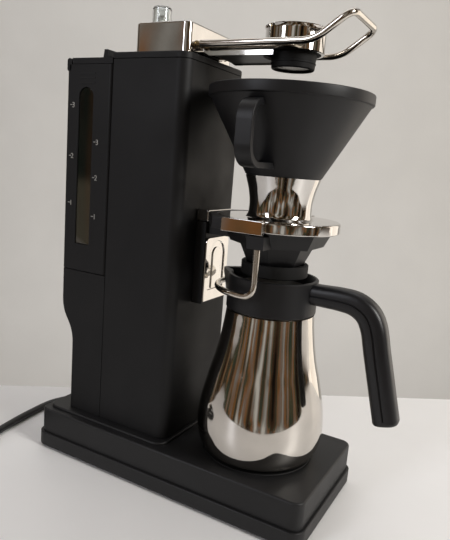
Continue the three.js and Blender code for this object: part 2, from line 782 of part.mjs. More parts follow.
// ---- head box ------------------------------------------------------------------------------------
function makeHead() {
  const half = BOX_WIDTH / 2;
  const back = boxFront + BOX_DEPTH;
  const capY = boxFront + CAP_FROM_FRONT;
  const capX = -CAP_OFFSET;
  const outer = prism("Z", roundedPlan(-half, half, boxFront, back, BOX_CORNER), boxBottom, boxTop, 5);
  const room = prism(
    "Z",
    roundedPlan(
      BOX_WALL - half,
      half - BOX_WALL,
      boxFront + BOX_WALL,
      back - BOX_WALL,
      BOX_CORNER - BOX_WALL,
    ),
    boxBottom - 1,
    boxTop - BOX_WALL,
    5,
  );
  const duct = { half: 12, bottom: boxBottom + 3, top: boxBottom + 13 };
  const mouth = block(-duct.half, duct.half, boxFront - 1, boxFront + BOX_WALL + 1, duct.bottom, duct.top);
  const capHole = disc(capX, capY, CAP_RADIUS + FIT, boxTop - BOX_WALL - 1, boxTop + 1, 28);
  const earInner = ARM_WIDTH / 2 - ARM_WALL - RUN - 2.8;
  const ears = [-1, 1].map((s) => {
    const outline = new THREE.Shape();
    outline.moveTo(boxFront + 1, hingeZ - HINGE_EAR);
    outline.lineTo(boxFront + 1, hingeZ + HINGE_EAR);
    outline.lineTo(hingeY, hingeZ + HINGE_EAR);
    outline.absarc(hingeY, hingeZ, HINGE_EAR, Math.PI / 2, 1.5 * Math.PI);
    return prism("X", outline, ...span(s, earInner, earInner + 2.8), 5);
  });
  const pinHole = crossBar(-half, half, hingeY, hingeZ, HINGE_PIN + FIT, 16);
  part("head_box", "chrome", cut(join(cut(outer, room, mouth, capHole), ...ears), pinHole));

  // The duct takes hot water from the riser to the arm, and steam up into the clear cap.
  const ductBack = capY + CAP_RADIUS;
  const ductLeft = capX - CAP_RADIUS;
  const wall = 1.4;
  const skin = duct.half - FIT;
  const boreHalf = skin - wall;
  const boreBack = ductBack - wall;
  const boreTop = duct.top - wall;
  const boreFloor = duct.bottom + wall;
  const tunnel = join(
    block(-skin, skin, boxFront + FIT, ductBack, duct.bottom + FIT, duct.top - FIT),
    block(ductLeft, skin, boxFront + BOX_WALL + 4, ductBack, duct.bottom + FIT, duct.top - FIT),
  );
  const bore = join(
    block(-boreHalf, boreHalf, boxFront - 1, boreBack, boreFloor, boreTop),
    block(ductLeft + wall, boreHalf, boxFront + BOX_WALL + 6, boreBack, boreFloor, boreTop),
  );
  const inlet = disc(0, boilerY, PORT_RADIUS + FIT, duct.bottom - 1, duct.bottom + wall + 1, 20);
  const steamHole = disc(capX, capY, 3, duct.top - wall - 2, duct.top + 1, 20);
  const plinthLevel = duct.bottom + FIT + 0.5;
  const plinth = ring(0, boilerY, PORT_RADIUS + RUN, PORT_RADIUS + 3, boxBottom, plinthLevel, 20);
  part("feed_duct", "plastic", cut(join(cut(tunnel, bore), plinth), inlet, steamHole));

  const capBottom = duct.top;
  const capTop = boxTop + CAP_RISE;
  part(
    "steam_cap",
    "clear",
    revolve(
      [
        [CAP_RADIUS - CAP_WALL, capBottom],
        [CAP_RADIUS, capBottom],
        [CAP_RADIUS, capTop - 1.5],
        [CAP_RADIUS - 1.5, capTop],
        [0, capTop],
        [0, capTop - CAP_WALL],
        [CAP_RADIUS - CAP_WALL, capTop - CAP_WALL - 1],
      ],
      capX,
      capY,
      28,
    ),
  );
  part("steam_core", "white", ring(capX, capY, 3, 4.4, capBottom, capTop - 6, 20));
}

// ---- arm: channel, water tray, shower head and lifting loop --------------------------------------
function makeArm() {
  const half = ARM_WIDTH / 2;
  const rear = TOWER_FRONT - 1.1;
  const cheek = new THREE.Shape();
  cheek.moveTo(showerY, armBottom);
  cheek.lineTo(rear - 2, armBottom);
  cheek.lineTo(hingeY, hingeZ - HINGE_EAR);
  cheek.absarc(hingeY, hingeZ, HINGE_EAR, -Math.PI / 2, Math.PI / 2);
  cheek.lineTo(rear, armTop);
  cheek.lineTo(showerY, armTop);
  cheek.closePath();
  const cheeks = [-1, 1].map((s) => prism("X", cheek, ...span(s, half - ARM_WALL, half), 5));
  const roof = block(-half, half, showerY, rear, armTop - ARM_WALL, armTop);
  const round = disc(0, showerY, SHOWER_RADIUS + FIT, armBottom - 2, armTop + 2, 28);
  const front = block(-half - 1, half + 1, showerY - 1, showerY + 4, armBottom - 2, armTop + 2);
  const pinHole = crossBar(-half - 1, half + 1, hingeY, hingeZ, HINGE_PIN + FIT, 16);
  part("arm_channel", "chrome", cut(join(roof, ...cheeks), round, front, pinHole));

  const trayHalf = half - ARM_WALL - FIT;
  const trayTop = armTop - ARM_WALL - FIT;
  const tray = block(-trayHalf, trayHalf, showerY, rear - 1.5, armBottom + 1, trayTop);
  const trough = block(-trayHalf + 4, trayHalf - 4, showerY - 1, rear, armBottom + 3, trayTop + 1);
  part("arm_tray", "plastic", cut(tray, trough, round));

  const pin = crossBar(-LOOP_HALF_WIDTH, LOOP_HALF_WIDTH, hingeY, hingeZ, HINGE_PIN, 16);
  const knobs = [-1, 1].map((s) =>
    new THREE.SphereGeometry(LOOP_ROD + 0.6, 10, 6).translate(s * LOOP_HALF_WIDTH, hingeY, hingeZ),
  );
  part("arm_pin", "brass", join(pin, ...knobs));

  const loopStart = hingeY - LOOP_ROD - 0.6 - FIT;
  const bendY = hingeY - LOOP_STRAIGHT;
  const barY = bendY - LOOP_RUN_OUT;
  const barZ = hingeZ + LOOP_RISE;
  const w = LOOP_HALF_WIDTH;
  const loop = bentPath(
    [
      [-w, loopStart, hingeZ],
      [-w, bendY, hingeZ],
      [-w, barY, barZ],
      [w, barY, barZ],
      [w, bendY, hingeZ],
      [w, loopStart, hingeZ],
    ],
    LOOP_CORNER,
  );
  part("lifting_loop", "steel", rod(loop, LOOP_ROD, 8, 40));

  const top = showerBottom + SHOWER_HEIGHT;
  const inner = SHOWER_RADIUS - SHOWER_WALL;
  part(
    "shower_ring",
    "chrome",
    revolve(
      [
        [inner, showerBottom],
        [SHOWER_RADIUS, showerBottom],
        [SHOWER_RADIUS, top - 3.4],
        [SHOWER_RADIUS + SHOWER_LIP, top - 1.4],
        [SHOWER_RADIUS + SHOWER_LIP, top],
        [SHOWER_RADIUS - 0.6, top],
        [inner, top - 3],
      ],
      0,
      showerY,
      28,
    ),
  );
  part("shower_cover", "plastic", disc(0, showerY, inner - FIT, top - 5.2, top - 3.4, 28));
  part(
    "shower_nozzle",
    "rubber",
    revolve(
      [
        [NOZZLE_BORE, showerBottom - NOZZLE_DROP],
        [NOZZLE_TIP, showerBottom - NOZZLE_DROP],
        [NOZZLE_TIP + 0.6, showerBottom - NOZZLE_DROP + 1.5],
        [NOZZLE_TOP, showerBottom - 0.5],
        [NOZZLE_TOP + 0.5, showerBottom],
        [inner - FIT, showerBottom + 0.6],
        [inner - FIT, showerBottom + 3],
        [NOZZLE_BORE, showerBottom + 3],
      ],
      0,
      showerY,
      24,
    ),
  );
  const plateZ = showerBottom - NOZZLE_DROP + 1.4;
  const holes = Array.from({ length: 6 }, (_, i) => {
    const angle = (2 * Math.PI * i) / 6;
    return disc(8 * Math.cos(angle), showerY + 8 * Math.sin(angle), 1.1, plateZ - 1, plateZ + 3, 6);
  });
  const sieve = disc(0, showerY, NOZZLE_BORE - FIT, plateZ, plateZ + 1.5, 24);
  part("shower_plate", "steel", cut(sieve, ...holes));
}

// ---- bracket, fork and drip-stop holder ----------------------------------------------------------
const prongInner = DISC_RADIUS + RUN;

function makeBracket() {
  const half = BRACKET_WIDTH / 2;
  const front = -BRACKET_DEPTH;
  const plateFront = front - FIT - FACE_PLATE;
  const bodyTop = holderTop - FIT;
  const behind = TOWER_FRONT - FIT;
  part("bracket_body", "plastic", block(-half, half, front, behind, bracketBottom, bodyTop));
  const capHalf = half + 0.5;
  const capTop = bodyTop + FIT + BRACKET_CAP;
  part("bracket_cap", "chrome", block(-capHalf, capHalf, plateFront, behind, holderTop, capTop));

  const z0 = bracketBottom + 2;
  const facePlan = roundedPlan(z0, z0 + FACE_HEIGHT, -half, half, 2);
  const plate = prism("Y", facePlan, plateFront, front - FIT, 4);
  const slot = (inset) => {
    const w = FACE_SLOT_HALF - inset;
    return roundedPlan(z0 + 11 + inset, z0 + 42 - inset, -w, w, w * 0.98, w * 0.98);
  };
  part("bracket_face", "chrome", cut(plate, prism("Y", slot(0), plateFront - 1, front, 6)));
  part("bracket_inlay", "chrome", prism("Y", slot(3), plateFront + 0.5, front, 6));

  // A black carrier joins the bracket to the two chrome prongs that keep the dripper's disc in place.
  const carrierTop = holderTop + BRACKET_CAP - 0.5;
  const wing = DISC_RADIUS + RUN + PRONG_THICKNESS - 1.2;
  const wingY = axisY + 22;
  const plan = polygon([
    [-half, plateFront - FIT],
    [-wing, wingY + 8],
    [-wing, wingY],
    [wing, wingY],
    [wing, wingY + 8],
    [half, plateFront - FIT],
  ]);
  const bore = disc(0, axisY, prongInner, holderTop - 1, carrierTop + 1, 48);
  part("fork_carrier", "plastic", cut(prism("Z", plan, holderTop, carrierTop), bore));

  for (const [side, s] of [["left", -1], ["right", 1]]) {
    const tip = axisY - PRONG_REACH;
    const low = holderTop - 0.7;
    const outline = roundedPlan(tip, wingY - FIT, low, low + PRONG_HEIGHT, 0.4, 1.6);
    const bar = prism("X", outline, ...span(s, prongInner, prongInner + PRONG_THICKNESS), 4);
    part(`fork_prong_${side}`, "chrome", bar);
  }
}

// An eight-sided frustum whose wide panels face front and back and the four corners.
function panelled(radiusTop, radiusBottom, zTop, zBottom) {
  const sideAngle = THREE.MathUtils.degToRad(11.4);
  const frontAngle = THREE.MathUtils.degToRad(61.8);
  const angles = [0, 1].flatMap((k) => [
    k * Math.PI - sideAngle,
    k * Math.PI + sideAngle,
    k * Math.PI + frontAngle,
    k * Math.PI + Math.PI - frontAngle,
  ]);
  const ringOf = (radius) => angles.map((a) => [radius * Math.cos(a), radius * Math.sin(a)]);
  const base = prism("Z", polygon(ringOf(radiusTop)), zBottom, zTop);
  const position = base.attributes.position;
  for (let i = 0; i < position.count; i++) {
    const scale = Math.abs(position.getZ(i) - zBottom) < 1e-3 ? radiusBottom / radiusTop : 1;
    position.setXYZ(i, position.getX(i) * scale, position.getY(i) * scale + axisY, position.getZ(i));
  }
  return base;
}

function makeHolder() {
  const stepZ = holderTop - HOLDER_STEP_DROP;
  const bottom = holderTop - HOLDER_HEIGHT;
  const floor = bottom + HOLDER_FLOOR;
  const upper = panelled(HOLDER_RIM, HOLDER_STEP, holderTop, stepZ);
  const lower = panelled(HOLDER_LOWER, HOLDER_TIP, stepZ + 1, bottom);
  const arm = block(-14, 14, axisY + HOLDER_STEP - 8, -BRACKET_DEPTH - FIT, stepZ + 1.5, holderTop - FIT);
  const bosses = [-1, 1].map((s) => {
    const [x0, x1] = span(s, HOLDER_STEP - 4, WIRE_HALF_WIDTH + WIRE_RADIUS + RUN + 1.6);
    return block(x0, x1, wireY - 6.4, wireY + 6.4, stepZ, holderTop - 2);
  });
  const mouth = revolve(
    [
      [0, floor],
      [8, floor],
      [HOLDER_MOUTH, holderTop],
      [HOLDER_MOUTH, holderTop + 1],
      [0, holderTop + 1],
    ],
    0,
    axisY,
    32,
  );
  const bore = disc(0, axisY, HOLDER_BORE, bottom - 1, floor + 1, 16);
  const wireSlots = [-1, 1].map((s) => {
    const x0 = s * WIRE_HALF_WIDTH - WIRE_RADIUS - RUN;
    const x1 = s * WIRE_HALF_WIDTH + WIRE_RADIUS + RUN;
    return block(x0, x1, wireY - 4.6, wireY + 4.6, stepZ - 1, holderTop - 4.6);
  });
  part("drip_holder", "plastic", cut(join(upper, lower, arm, ...bosses), mouth, bore, ...wireSlots));

  const ringTop = bottom;
  const skirtInner = DRIP_RING_RADIUS - DRIP_RING_WALL;
  const skirtBottom = ringTop - DRIP_RING_HEIGHT;
  const skirt = ring(0, axisY, skirtInner, DRIP_RING_RADIUS, skirtBottom, ringTop, 28);
  const hub = ring(0, axisY, HOLDER_BORE, 5, ringTop - 4, ringTop, 20);
  const spokes = [0, 1].map((k) => {
    const reach = DRIP_RING_RADIUS - DRIP_RING_WALL / 2;
    const bar = block(-reach, reach, -1.2, 1.2, ringTop - 3, ringTop);
    return bar.rotateZ((k * Math.PI) / 2).translate(0, axisY, 0);
  });
  const stemHole = disc(0, axisY, HOLDER_BORE, ringTop - 6, ringTop + 1, 16);
  part("drip_ring", "rubber", cut(join(skirt, hub, ...spokes), stemHole));

  const lifted = floor + 2.5;
  part(
    "drip_valve",
    "silicone",
    revolve(
      [
        [0, ringTop - 6],
        [1.9, ringTop - 6],
        [1.9, lifted],
        [5.5, lifted],
        [5.5, lifted + 1.8],
        [2, lifted + 4],
        [0, lifted + 4],
      ],
      0,
      axisY,
      20,
    ),
  );

  // The wire hangs from the holder's two bosses and passes behind the server's collar.
  const topZ = holderTop - WIRE_PIVOT_DROP + 2;
  const lowZ = holderTop - WIRE_PIVOT_DROP - WIRE_DROP;
  const w = WIRE_HALF_WIDTH;
  const leg = (s) => [
    [s * w, wireY, topZ],
    [s * w, wireY, (topZ + lowZ) / 2],
    [s * w, wireY, lowZ + WIRE_BEND],
    [s * w, wireY + 0.3 * WIRE_BEND, lowZ + 0.3 * WIRE_BEND],
  ];
  const bow = Array.from({ length: 13 }, (_, i) => {
    const angle = Math.PI - (Math.PI * i) / 12;
    return [w * Math.cos(angle), wireY + WIRE_BEND + WIRE_BACK * Math.sin(angle), lowZ];
  });
  const wirePath = smoothPath([...leg(-1), ...bow, ...leg(1).reverse()]);
  part("lever_wire", "steel", rod(wirePath, WIRE_RADIUS, 8, 38));
}


// ---- dripper -------------------------------------------------------------------------------------
function makeDripper() {
  part(
    "dripper_disc",
    "chrome",
    revolve(
      [
        [OUTLET_RADIUS + FIT, discBottom],
        [DISC_RADIUS, discBottom],
        [DISC_RADIUS, discTop - 2.4],
        [DISC_RADIUS - 0.8, discTop - 0.8],
        [DISC_RADIUS - 2.4, discTop],
        [OUTLET_RADIUS + FIT, discTop],
      ],
      0,
      axisY,
      36,
    ),
  );

  const waistTop = coneBottom - FIT;
  const waistBottom = discTop;
  const high = waistTop - waistBottom;
  const waistOuter = [
    [WAIST_RADIUS + 2.6, waistBottom],
    [WAIST_RADIUS + 0.1, waistBottom + 0.18 * high],
    [WAIST_RADIUS + 0.1, waistBottom + 0.34 * high],
    [WAIST_RADIUS + 0.8, waistBottom + 0.52 * high],
    [WAIST_RADIUS + 2.5, waistBottom + 0.77 * high],
    [CONE_BOTTOM_RADIUS - 0.1, waistTop],
  ];
  const waistInner = waistOuter.map(([r, z]) => [r - WAIST_WALL, z]).reverse();
  part("dripper_waist", "chrome", revolve([...waistOuter, ...waistInner], 0, axisY, 28));

  const bandBottom = coneTop - CONE_BAND;
  const slope = (CONE_RIM - CONE_BAND_STEP - CONE_BOTTOM_RADIUS) / (bandBottom - coneBottom);
  const wallTop = CONE_RIM - CONE_WALL;
  const outletTop = discTop + 3;
  const innerAt = (z) => CONE_BOTTOM_RADIUS - CONE_WALL + slope * (z - coneBottom);
  const hiddenTop = CONE_BOTTOM_RADIUS - WAIST_WALL - 2 * FIT;
  const hiddenBottom = innerAt(outletTop + 2) + 1.4;
  part(
    "dripper_cone",
    "plastic",
    revolve(
      [
        [OUTLET_BORE, discBottom + 2],
        [OUTLET_RADIUS, discBottom + 2],
        [OUTLET_RADIUS, outletTop],
        [hiddenBottom, outletTop + 2],
        [hiddenTop - 1.2, coneBottom],
        [CONE_BOTTOM_RADIUS, coneBottom],
        [CONE_RIM - CONE_BAND_STEP, bandBottom],
        [CONE_RIM, bandBottom + 0.6],
        [CONE_RIM, coneTop],
        [wallTop, coneTop],
        [wallTop, bandBottom],
        [innerAt(coneBottom), coneBottom],
        [OUTLET_BORE, discTop + 2],
      ],
      0,
      axisY,
      36,
    ),
  );

  // The strap handle is a D of flat bar, drawn in the plane across the machine.
  const t = STRAP_THICKNESS;
  const root = -(CONE_BOTTOM_RADIUS - 4);
  const outer = roundedPlan(strapBottom, strapTop, -STRAP_REACH, root, STRAP_CORNER, 0.5);
  const gap = roundedPlan(
    strapBottom + t,
    strapTop - t,
    t - STRAP_REACH,
    root + 5,
    STRAP_CORNER - t,
    0.5,
  );
  const y0 = axisY - STRAP_WIDTH / 2;
  const y1 = axisY + STRAP_WIDTH / 2;
  const cone = revolve(
    [
      [0, coneBottom - 20],
      [CONE_BOTTOM_RADIUS + FIT - 20 * slope, coneBottom - 20],
      [CONE_RIM - CONE_BAND_STEP + FIT + slope * 10, bandBottom + 10],
      [0, bandBottom + 10],
    ],
    0,
    axisY,
    36,
  );
  const strap = prism("Y", outer, y0, y1, 5);
  part("dripper_handle", "plastic", cut(strap, prism("Y", gap, y0 - 1, y1 + 1, 5), cone));
}

// ---- server --------------------------------------------------------------------------------------
// The flask's outside from foot to neck, as (radius, height above the pad).
const FLASK = [
  [SERVER_BELLY - 3.6, 5],
  [SERVER_BELLY - 0.9, 14],
  [SERVER_BELLY, 24],
  [SERVER_BELLY - 1.3, 39],
  [SERVER_BELLY - 4.2, 52.5],
  [SERVER_BELLY - 7.3, 65.5],
  [SERVER_BELLY - 10.5, 77.5],
  [SERVER_NECK + 2.7, 90.5],
  [SERVER_NECK + 0.9, 103],
];

// A thin-walled cup that follows the flask at an inset, with its shoulder and neck.
function vessel(outline, inset, wall, topZ, neck) {
  const line = (extra) => [
    [0, serverBottom + extra],
    [SERVER_FOOT - extra, serverBottom + extra],
    ...outline.filter(([, h]) => h > extra + 2).map(([r, h]) => [r - extra, serverBottom + h]),
    [SERVER_NECK - extra, neckTop - extra],
    [neck - extra + inset, neckTop - extra],
    [neck - extra + inset, topZ],
  ];
  return [...line(inset), ...line(inset + wall).reverse()];
}

function makeServer() {
  const throat = COLLAR_BORE - FIT;
  const shell = vessel(FLASK, 0, SERVER_WALL, collarBottom + 2.4, COLLAR_RADIUS - 3);
  part("server_shell", "steel", revolve(shell, 0, axisY, 28));
  const inset = SERVER_WALL + VACUUM_GAP;
  const inner = FLASK.filter((point, i) => i % 2 === 0);
  const linerTop = collarBottom + COLLAR_HEIGHT - 8;
  part("server_liner", "steel", revolve(vessel(inner, inset, 1, linerTop, throat), 0, axisY, 20));

  const collar = revolve(
    [
      [COLLAR_RADIUS - 3 + FIT, collarBottom],
      [COLLAR_RADIUS, collarBottom],
      [COLLAR_RADIUS, collarTop],
      [COLLAR_RADIUS - 2.6, collarTop],
      [COLLAR_BORE, collarTop - 6.5],
      [COLLAR_BORE, collarBottom + 2.7],
      [COLLAR_RADIUS - 3 + FIT, collarBottom + 2.7],
    ],
    0,
    axisY,
    32,
  );
  const tip = axisY + SPOUT_REACH;
  const rootY = axisY + COLLAR_BORE + 1.2;
  const spoutPlan = polygon([[-SPOUT_HALF_WIDTH, rootY], [SPOUT_HALF_WIDTH, rootY], [0, tip]]);
  const spoutOuter = prism("Z", spoutPlan, collarTop - 14.5, collarTop);
  const under = prism(
    "X",
    polygon([
      [axisY + COLLAR_RADIUS - 2, collarTop - 16],
      [tip + 2, collarTop - 16],
      [tip + 2, collarTop - 1.2],
      [tip, collarTop - 1.8],
      [axisY + COLLAR_RADIUS - 2, collarTop - 14],
    ]),
    -30,
    30,
  );
  const pour = prism(
    "Z",
    polygon([
      [SPOUT_WALL - SPOUT_HALF_WIDTH, rootY - 4],
      [SPOUT_HALF_WIDTH - SPOUT_WALL, rootY - 4],
      [0, tip - SPOUT_WALL - 1],
    ]),
    collarTop - 10,
    collarTop + 1,
  );
  const pourFloor = prism(
    "X",
    polygon([
      [rootY - 4, collarTop - 9],
      [tip, collarTop - 1.2],
      [tip, collarTop + 2],
      [rootY - 4, collarTop + 2],
    ]),
    -30,
    30,
  );
  part("server_collar", "plastic", cut(join(collar, cut(spoutOuter, under)), common(pour, pourFloor)));

  // The handle leaves the collar level, turns down at the elbow and leans outwards to its end.
  const top = collarTop - 0.6;
  const elbow = [axisY - GRIP_OUT, top - GRIP_ROOT / 2 - 2];
  const end = [elbow[0] - GRIP_LEAN, elbow[1] - GRIP_DROP];
  const length = Math.hypot(GRIP_LEAN, GRIP_DROP);
  const along = [-GRIP_LEAN / length, -GRIP_DROP / length];
  const out = [along[1], -along[0]];
  const half = GRIP_THICKNESS / 2;
  const at = (from, a, o) => [from[0] + along[0] * a + out[0] * o, from[1] + along[1] * a + out[1] * o];
  const grip = new THREE.Shape();
  const rootIn = axisY - COLLAR_RADIUS + 6;
  grip.moveTo(rootIn, top);
  grip.lineTo(elbow[0] + 6, top);
  grip.quadraticCurveTo(elbow[0] - 6, top, ...at(elbow, 3, half));
  grip.lineTo(...at(end, -GRIP_CAP - FIT, half));
  grip.lineTo(...at(end, -GRIP_CAP - FIT, -half));
  grip.lineTo(...at(elbow, 10, -half));
  grip.quadraticCurveTo(elbow[0] + 9, top - GRIP_ROOT, elbow[0] + 19, top - GRIP_ROOT);
  grip.lineTo(rootIn, top - GRIP_ROOT);
  grip.closePath();
  const collarRoom = disc(0, axisY, COLLAR_RADIUS + FIT, top - 40, top + 10, 32);
  part(
    "server_handle",
    "plastic",
    cut(prism("X", grip, -GRIP_WIDTH / 2, GRIP_WIDTH / 2, 6, 3), collarRoom),
  );

  const cap = polygon([
    at(end, -GRIP_CAP, half - 0.4),
    at(end, -1.5, half - 1),
    at(end, 0, half - 3),
    at(end, 0, 3 - half),
    at(end, -1.5, 1 - half),
    at(end, -GRIP_CAP, 0.4 - half),
  ]);
  part("handle_end_cap", "plastic", prism("X", cap, -GRIP_WIDTH / 2 + 0.6, GRIP_WIDTH / 2 - 0.6, 4, 1));
}

// ---- power cord ----------------------------------------------------------------------------------
function makeCord() {
  const relief = revolve(
    [
      [CORD_RADIUS + 0.4, -9],
      [RELIEF_NECK, -9],
      [RELIEF_NECK, FIT],
      [RELIEF_NECK + 1.8, FIT],
      [RELIEF_NECK + 1.8, FIT + 2],
      [RELIEF_NECK + 1, FIT + 2.6],
      [CORD_RADIUS + 0.9, RELIEF_LENGTH],
      [CORD_RADIUS + 0.4, RELIEF_LENGTH],
    ],
    0,
    0,
    20,
  )
    .rotateX(-Math.PI / 2)
    .translate(CORD_EXIT_X, halfDepth, CORD_EXIT_Z);
  part("strain_relief", "rubber", relief, cordGroup);

  part("power_cord", "rubber", rod(smoothPath(CORD_ROUTE), CORD_RADIUS, 8, 24), cordGroup);

  const thick = (COIL_TURNS_ACROSS / 2) * 2 * CORD_RADIUS + 0.4;
  const tall = COIL_LAYERS * 2 * CORD_RADIUS + 0.8;
  const coil = revolve(
    [
      [COIL_RADIUS - thick + 2, 0.2],
      [COIL_RADIUS + thick - 2, 0.2],
      [COIL_RADIUS + thick, 2.2],
      [COIL_RADIUS + thick, tall - 2],
      [COIL_RADIUS + thick - 2, tall],
      [COIL_RADIUS - thick + 2, tall],
      [COIL_RADIUS - thick, tall - 2],
      [COIL_RADIUS - thick, 2.2],
    ],
    COIL_X,
    COIL_Y,
    28,
  );
  part("cord_coil", "rubber", coil, cordGroup);

  // The plug lies across the top of the coil, over its far side.
  const plugY = COIL_Y + COIL_RADIUS;
  const plugZ = tall + FIT + PLUG.height / 2;
  const outline = polygon([
    [-PLUG.length / 2 - PLUG.tail, -CORD_RADIUS - 1],
    [-PLUG.length / 2, -PLUG.width / 2 + 3],
    [-PLUG.length / 2 + 6, -PLUG.width / 2],
    [PLUG.length / 2, -PLUG.width / 2],
    [PLUG.length / 2, PLUG.width / 2],
    [-PLUG.length / 2 + 6, PLUG.width / 2],
    [-PLUG.length / 2, PLUG.width / 2 - 3],
    [-PLUG.length / 2 - PLUG.tail, CORD_RADIUS + 1],
  ]);
  const body = prism("Z", outline, -PLUG.height / 2, PLUG.height / 2, 4, 1.5);
  body.translate(COIL_X, plugY, plugZ);
  const blades = [-1, 1].map((s) => {
    const y = plugY + s * PLUG.bladeSpread;
    const face = COIL_X + PLUG.length / 2;
    return block(face - 3, face + PLUG.blade, y - 0.75, y + 0.75, plugZ - 3.2, plugZ + 3.2);
  });
  part("plug", "rubber", join(body, ...blades), cordGroup);
}

makeBase();
makeBoard();
makeSwitch();
makeTower();
makeRearCover();
makeBoiler();
makeTank();
makeHead();
makeArm();
makeBracket();
makeHolder();
makeDripper();
makeServer();
makeCord();

// The origin is under the middle of the brewer, on the surface it stands on, without its lead.
const extent = new THREE.Box3();
for (const child of group.children) {
  if (child !== cordGroup) extent.expandByObject(child, true);
}
const middle = extent.getCenter(new THREE.Vector3());
group.position.set(-middle.x, -middle.y, -extent.min.z);
group.updateMatrixWorld(true);

export default group;
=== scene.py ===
# %% [markdown]
# # A compact pour-over coffee brewer
# The CAD model is loaded as a fixed frame. Everything drawn here goes where that frame says,
# and most of its plain many-sided solids are replaced by finely shaped pieces with real finishes.

import math

import bmesh
import bpy
from mathutils import Matrix, Vector


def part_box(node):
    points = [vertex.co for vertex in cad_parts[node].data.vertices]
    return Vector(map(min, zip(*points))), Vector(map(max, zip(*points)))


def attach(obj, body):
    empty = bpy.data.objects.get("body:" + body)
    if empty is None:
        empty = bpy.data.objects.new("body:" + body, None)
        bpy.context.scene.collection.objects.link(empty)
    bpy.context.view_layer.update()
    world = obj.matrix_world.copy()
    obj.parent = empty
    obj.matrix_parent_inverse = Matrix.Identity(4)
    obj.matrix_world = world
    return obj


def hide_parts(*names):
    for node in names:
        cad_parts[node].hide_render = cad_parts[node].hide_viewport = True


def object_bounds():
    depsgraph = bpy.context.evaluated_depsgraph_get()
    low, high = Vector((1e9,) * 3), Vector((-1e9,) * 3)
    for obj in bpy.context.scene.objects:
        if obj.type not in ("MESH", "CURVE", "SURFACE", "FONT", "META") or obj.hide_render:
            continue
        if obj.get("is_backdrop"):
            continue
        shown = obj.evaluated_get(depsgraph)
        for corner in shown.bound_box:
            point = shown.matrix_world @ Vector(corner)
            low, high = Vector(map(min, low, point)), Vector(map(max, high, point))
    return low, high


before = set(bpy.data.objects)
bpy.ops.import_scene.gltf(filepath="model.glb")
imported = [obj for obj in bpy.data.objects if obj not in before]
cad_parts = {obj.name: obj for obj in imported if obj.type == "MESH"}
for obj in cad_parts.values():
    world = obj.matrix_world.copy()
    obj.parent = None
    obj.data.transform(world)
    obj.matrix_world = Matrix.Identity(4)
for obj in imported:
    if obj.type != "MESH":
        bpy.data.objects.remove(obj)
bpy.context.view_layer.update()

# %% [markdown]
# ## Working in millimetres from the middle of the base
# The brewer is symmetrical about its base, so its pieces are easiest to draw in millimetres from
# the middle of the base, with the front at -Y. One matrix takes a finished piece to the frame.

# %% Units and places
MM = 0.001
pan_low, pan_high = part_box("base_pan")
MIDDLE = Vector(((pan_low.x + pan_high.x) / 2, (pan_low.y + pan_high.y) / 2, 0))
TO_FRAME = Matrix.Translation(MIDDLE) @ Matrix.Scale(MM, 4)


class Box:
    """A CAD node's lowest and highest corners, in millimetres from the middle of the base."""

    def __init__(self, node):
        low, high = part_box(node)
        self.x0, self.y0, self.z0 = (low - MIDDLE) / MM
        self.x1, self.y1, self.z1 = (high - MIDDLE) / MM


PAN, HOUSING, PAD = Box("base_pan"), Box("base_housing"), Box("server_pad")
TOWER, PLATE, REAR = Box("tower_shell"), Box("top_plate"), Box("rear_cover")
TANK, LID, WINDOW = Box("tank_shell"), Box("tank_lid"), Box("tank_window")
HEAD, CAP, CORE = Box("head_box"), Box("steam_cap"), Box("steam_core")
CONE, WAIST = Box("dripper_cone"), Box("dripper_waist")
DISC, STRAP = Box("dripper_disc"), Box("dripper_handle")
SHELL, COLLAR, GRIP = Box("server_shell"), Box("server_collar"), Box("server_handle")
RING, NOZZLE = Box("shower_ring"), Box("shower_nozzle")
AXIS_Y = (DISC.y0 + DISC.y1) / 2
SHOWER_Y = (RING.y0 + RING.y1) / 2
print("middle of the base", [round(v, 4) for v in MIDDLE], "dripper axis at y", round(AXIS_Y, 1))

# %% [markdown]
# ## The camera
# A person of middle height stands at the machine's left and a little in front of it. The camera
# comes first, because the lead's hidden length has to stay outside what it sees.

# %% Camera
CAMERA_PLACE = Vector((-389.5, -231.6, 259.6))
CAMERA_AZIMUTH, CAMERA_PITCH, CAMERA_ROLL = (math.radians(a) for a in (61.4, 10.89, 4.65))
forward = Vector(
    (
        math.sin(CAMERA_AZIMUTH) * math.cos(CAMERA_PITCH),
        math.cos(CAMERA_AZIMUTH) * math.cos(CAMERA_PITCH),
        -math.sin(CAMERA_PITCH),
    )
)
level_right = forward.cross(Vector((0, 0, 1))).normalized()
level_up = level_right.cross(forward)
right = math.cos(CAMERA_ROLL) * level_right + math.sin(CAMERA_ROLL) * level_up
up = right.cross(forward)
camera = bpy.data.objects.new("camera", bpy.data.cameras.new("camera"))
camera.data.lens = 37.5
camera.data.clip_start = 0.01
turn = Matrix((right, up, -forward)).transposed().to_4x4()
camera.matrix_world = Matrix.Translation(TO_FRAME @ CAMERA_PLACE) @ turn
bpy.context.collection.objects.link(camera)
bpy.context.scene.camera = camera
print("camera at", [round(v, 3) for v in camera.location])


# %% [markdown]
# ## Materials
# Colours are chosen as sRGB hex values, but a shader calculates with linear light. One function
# turns the first into the second, so that no colour is typed twice in two forms.

# %% Colours
def linear(code, alpha=1.0):
    """An sRGB hex colour as the linear values that a shader takes."""
    parts = [int(code[i : i + 2], 16) / 255 for i in (1, 3, 5)]
    return tuple(c / 12.92 if c <= 0.04045 else ((c + 0.055) / 1.055) ** 2.4 for c in parts) + (alpha,)


print("mid grey in linear light", [round(c, 3) for c in linear("#808080")])


# %% [markdown]
# ### Nodes
# A material is a graph of nodes. Making each node takes three things: its kind, its settings and
# what is plugged into it. One function does all three, whatever the kind. A second one turns a
# grey pattern into two colours, which is what most of the patterns here are for.

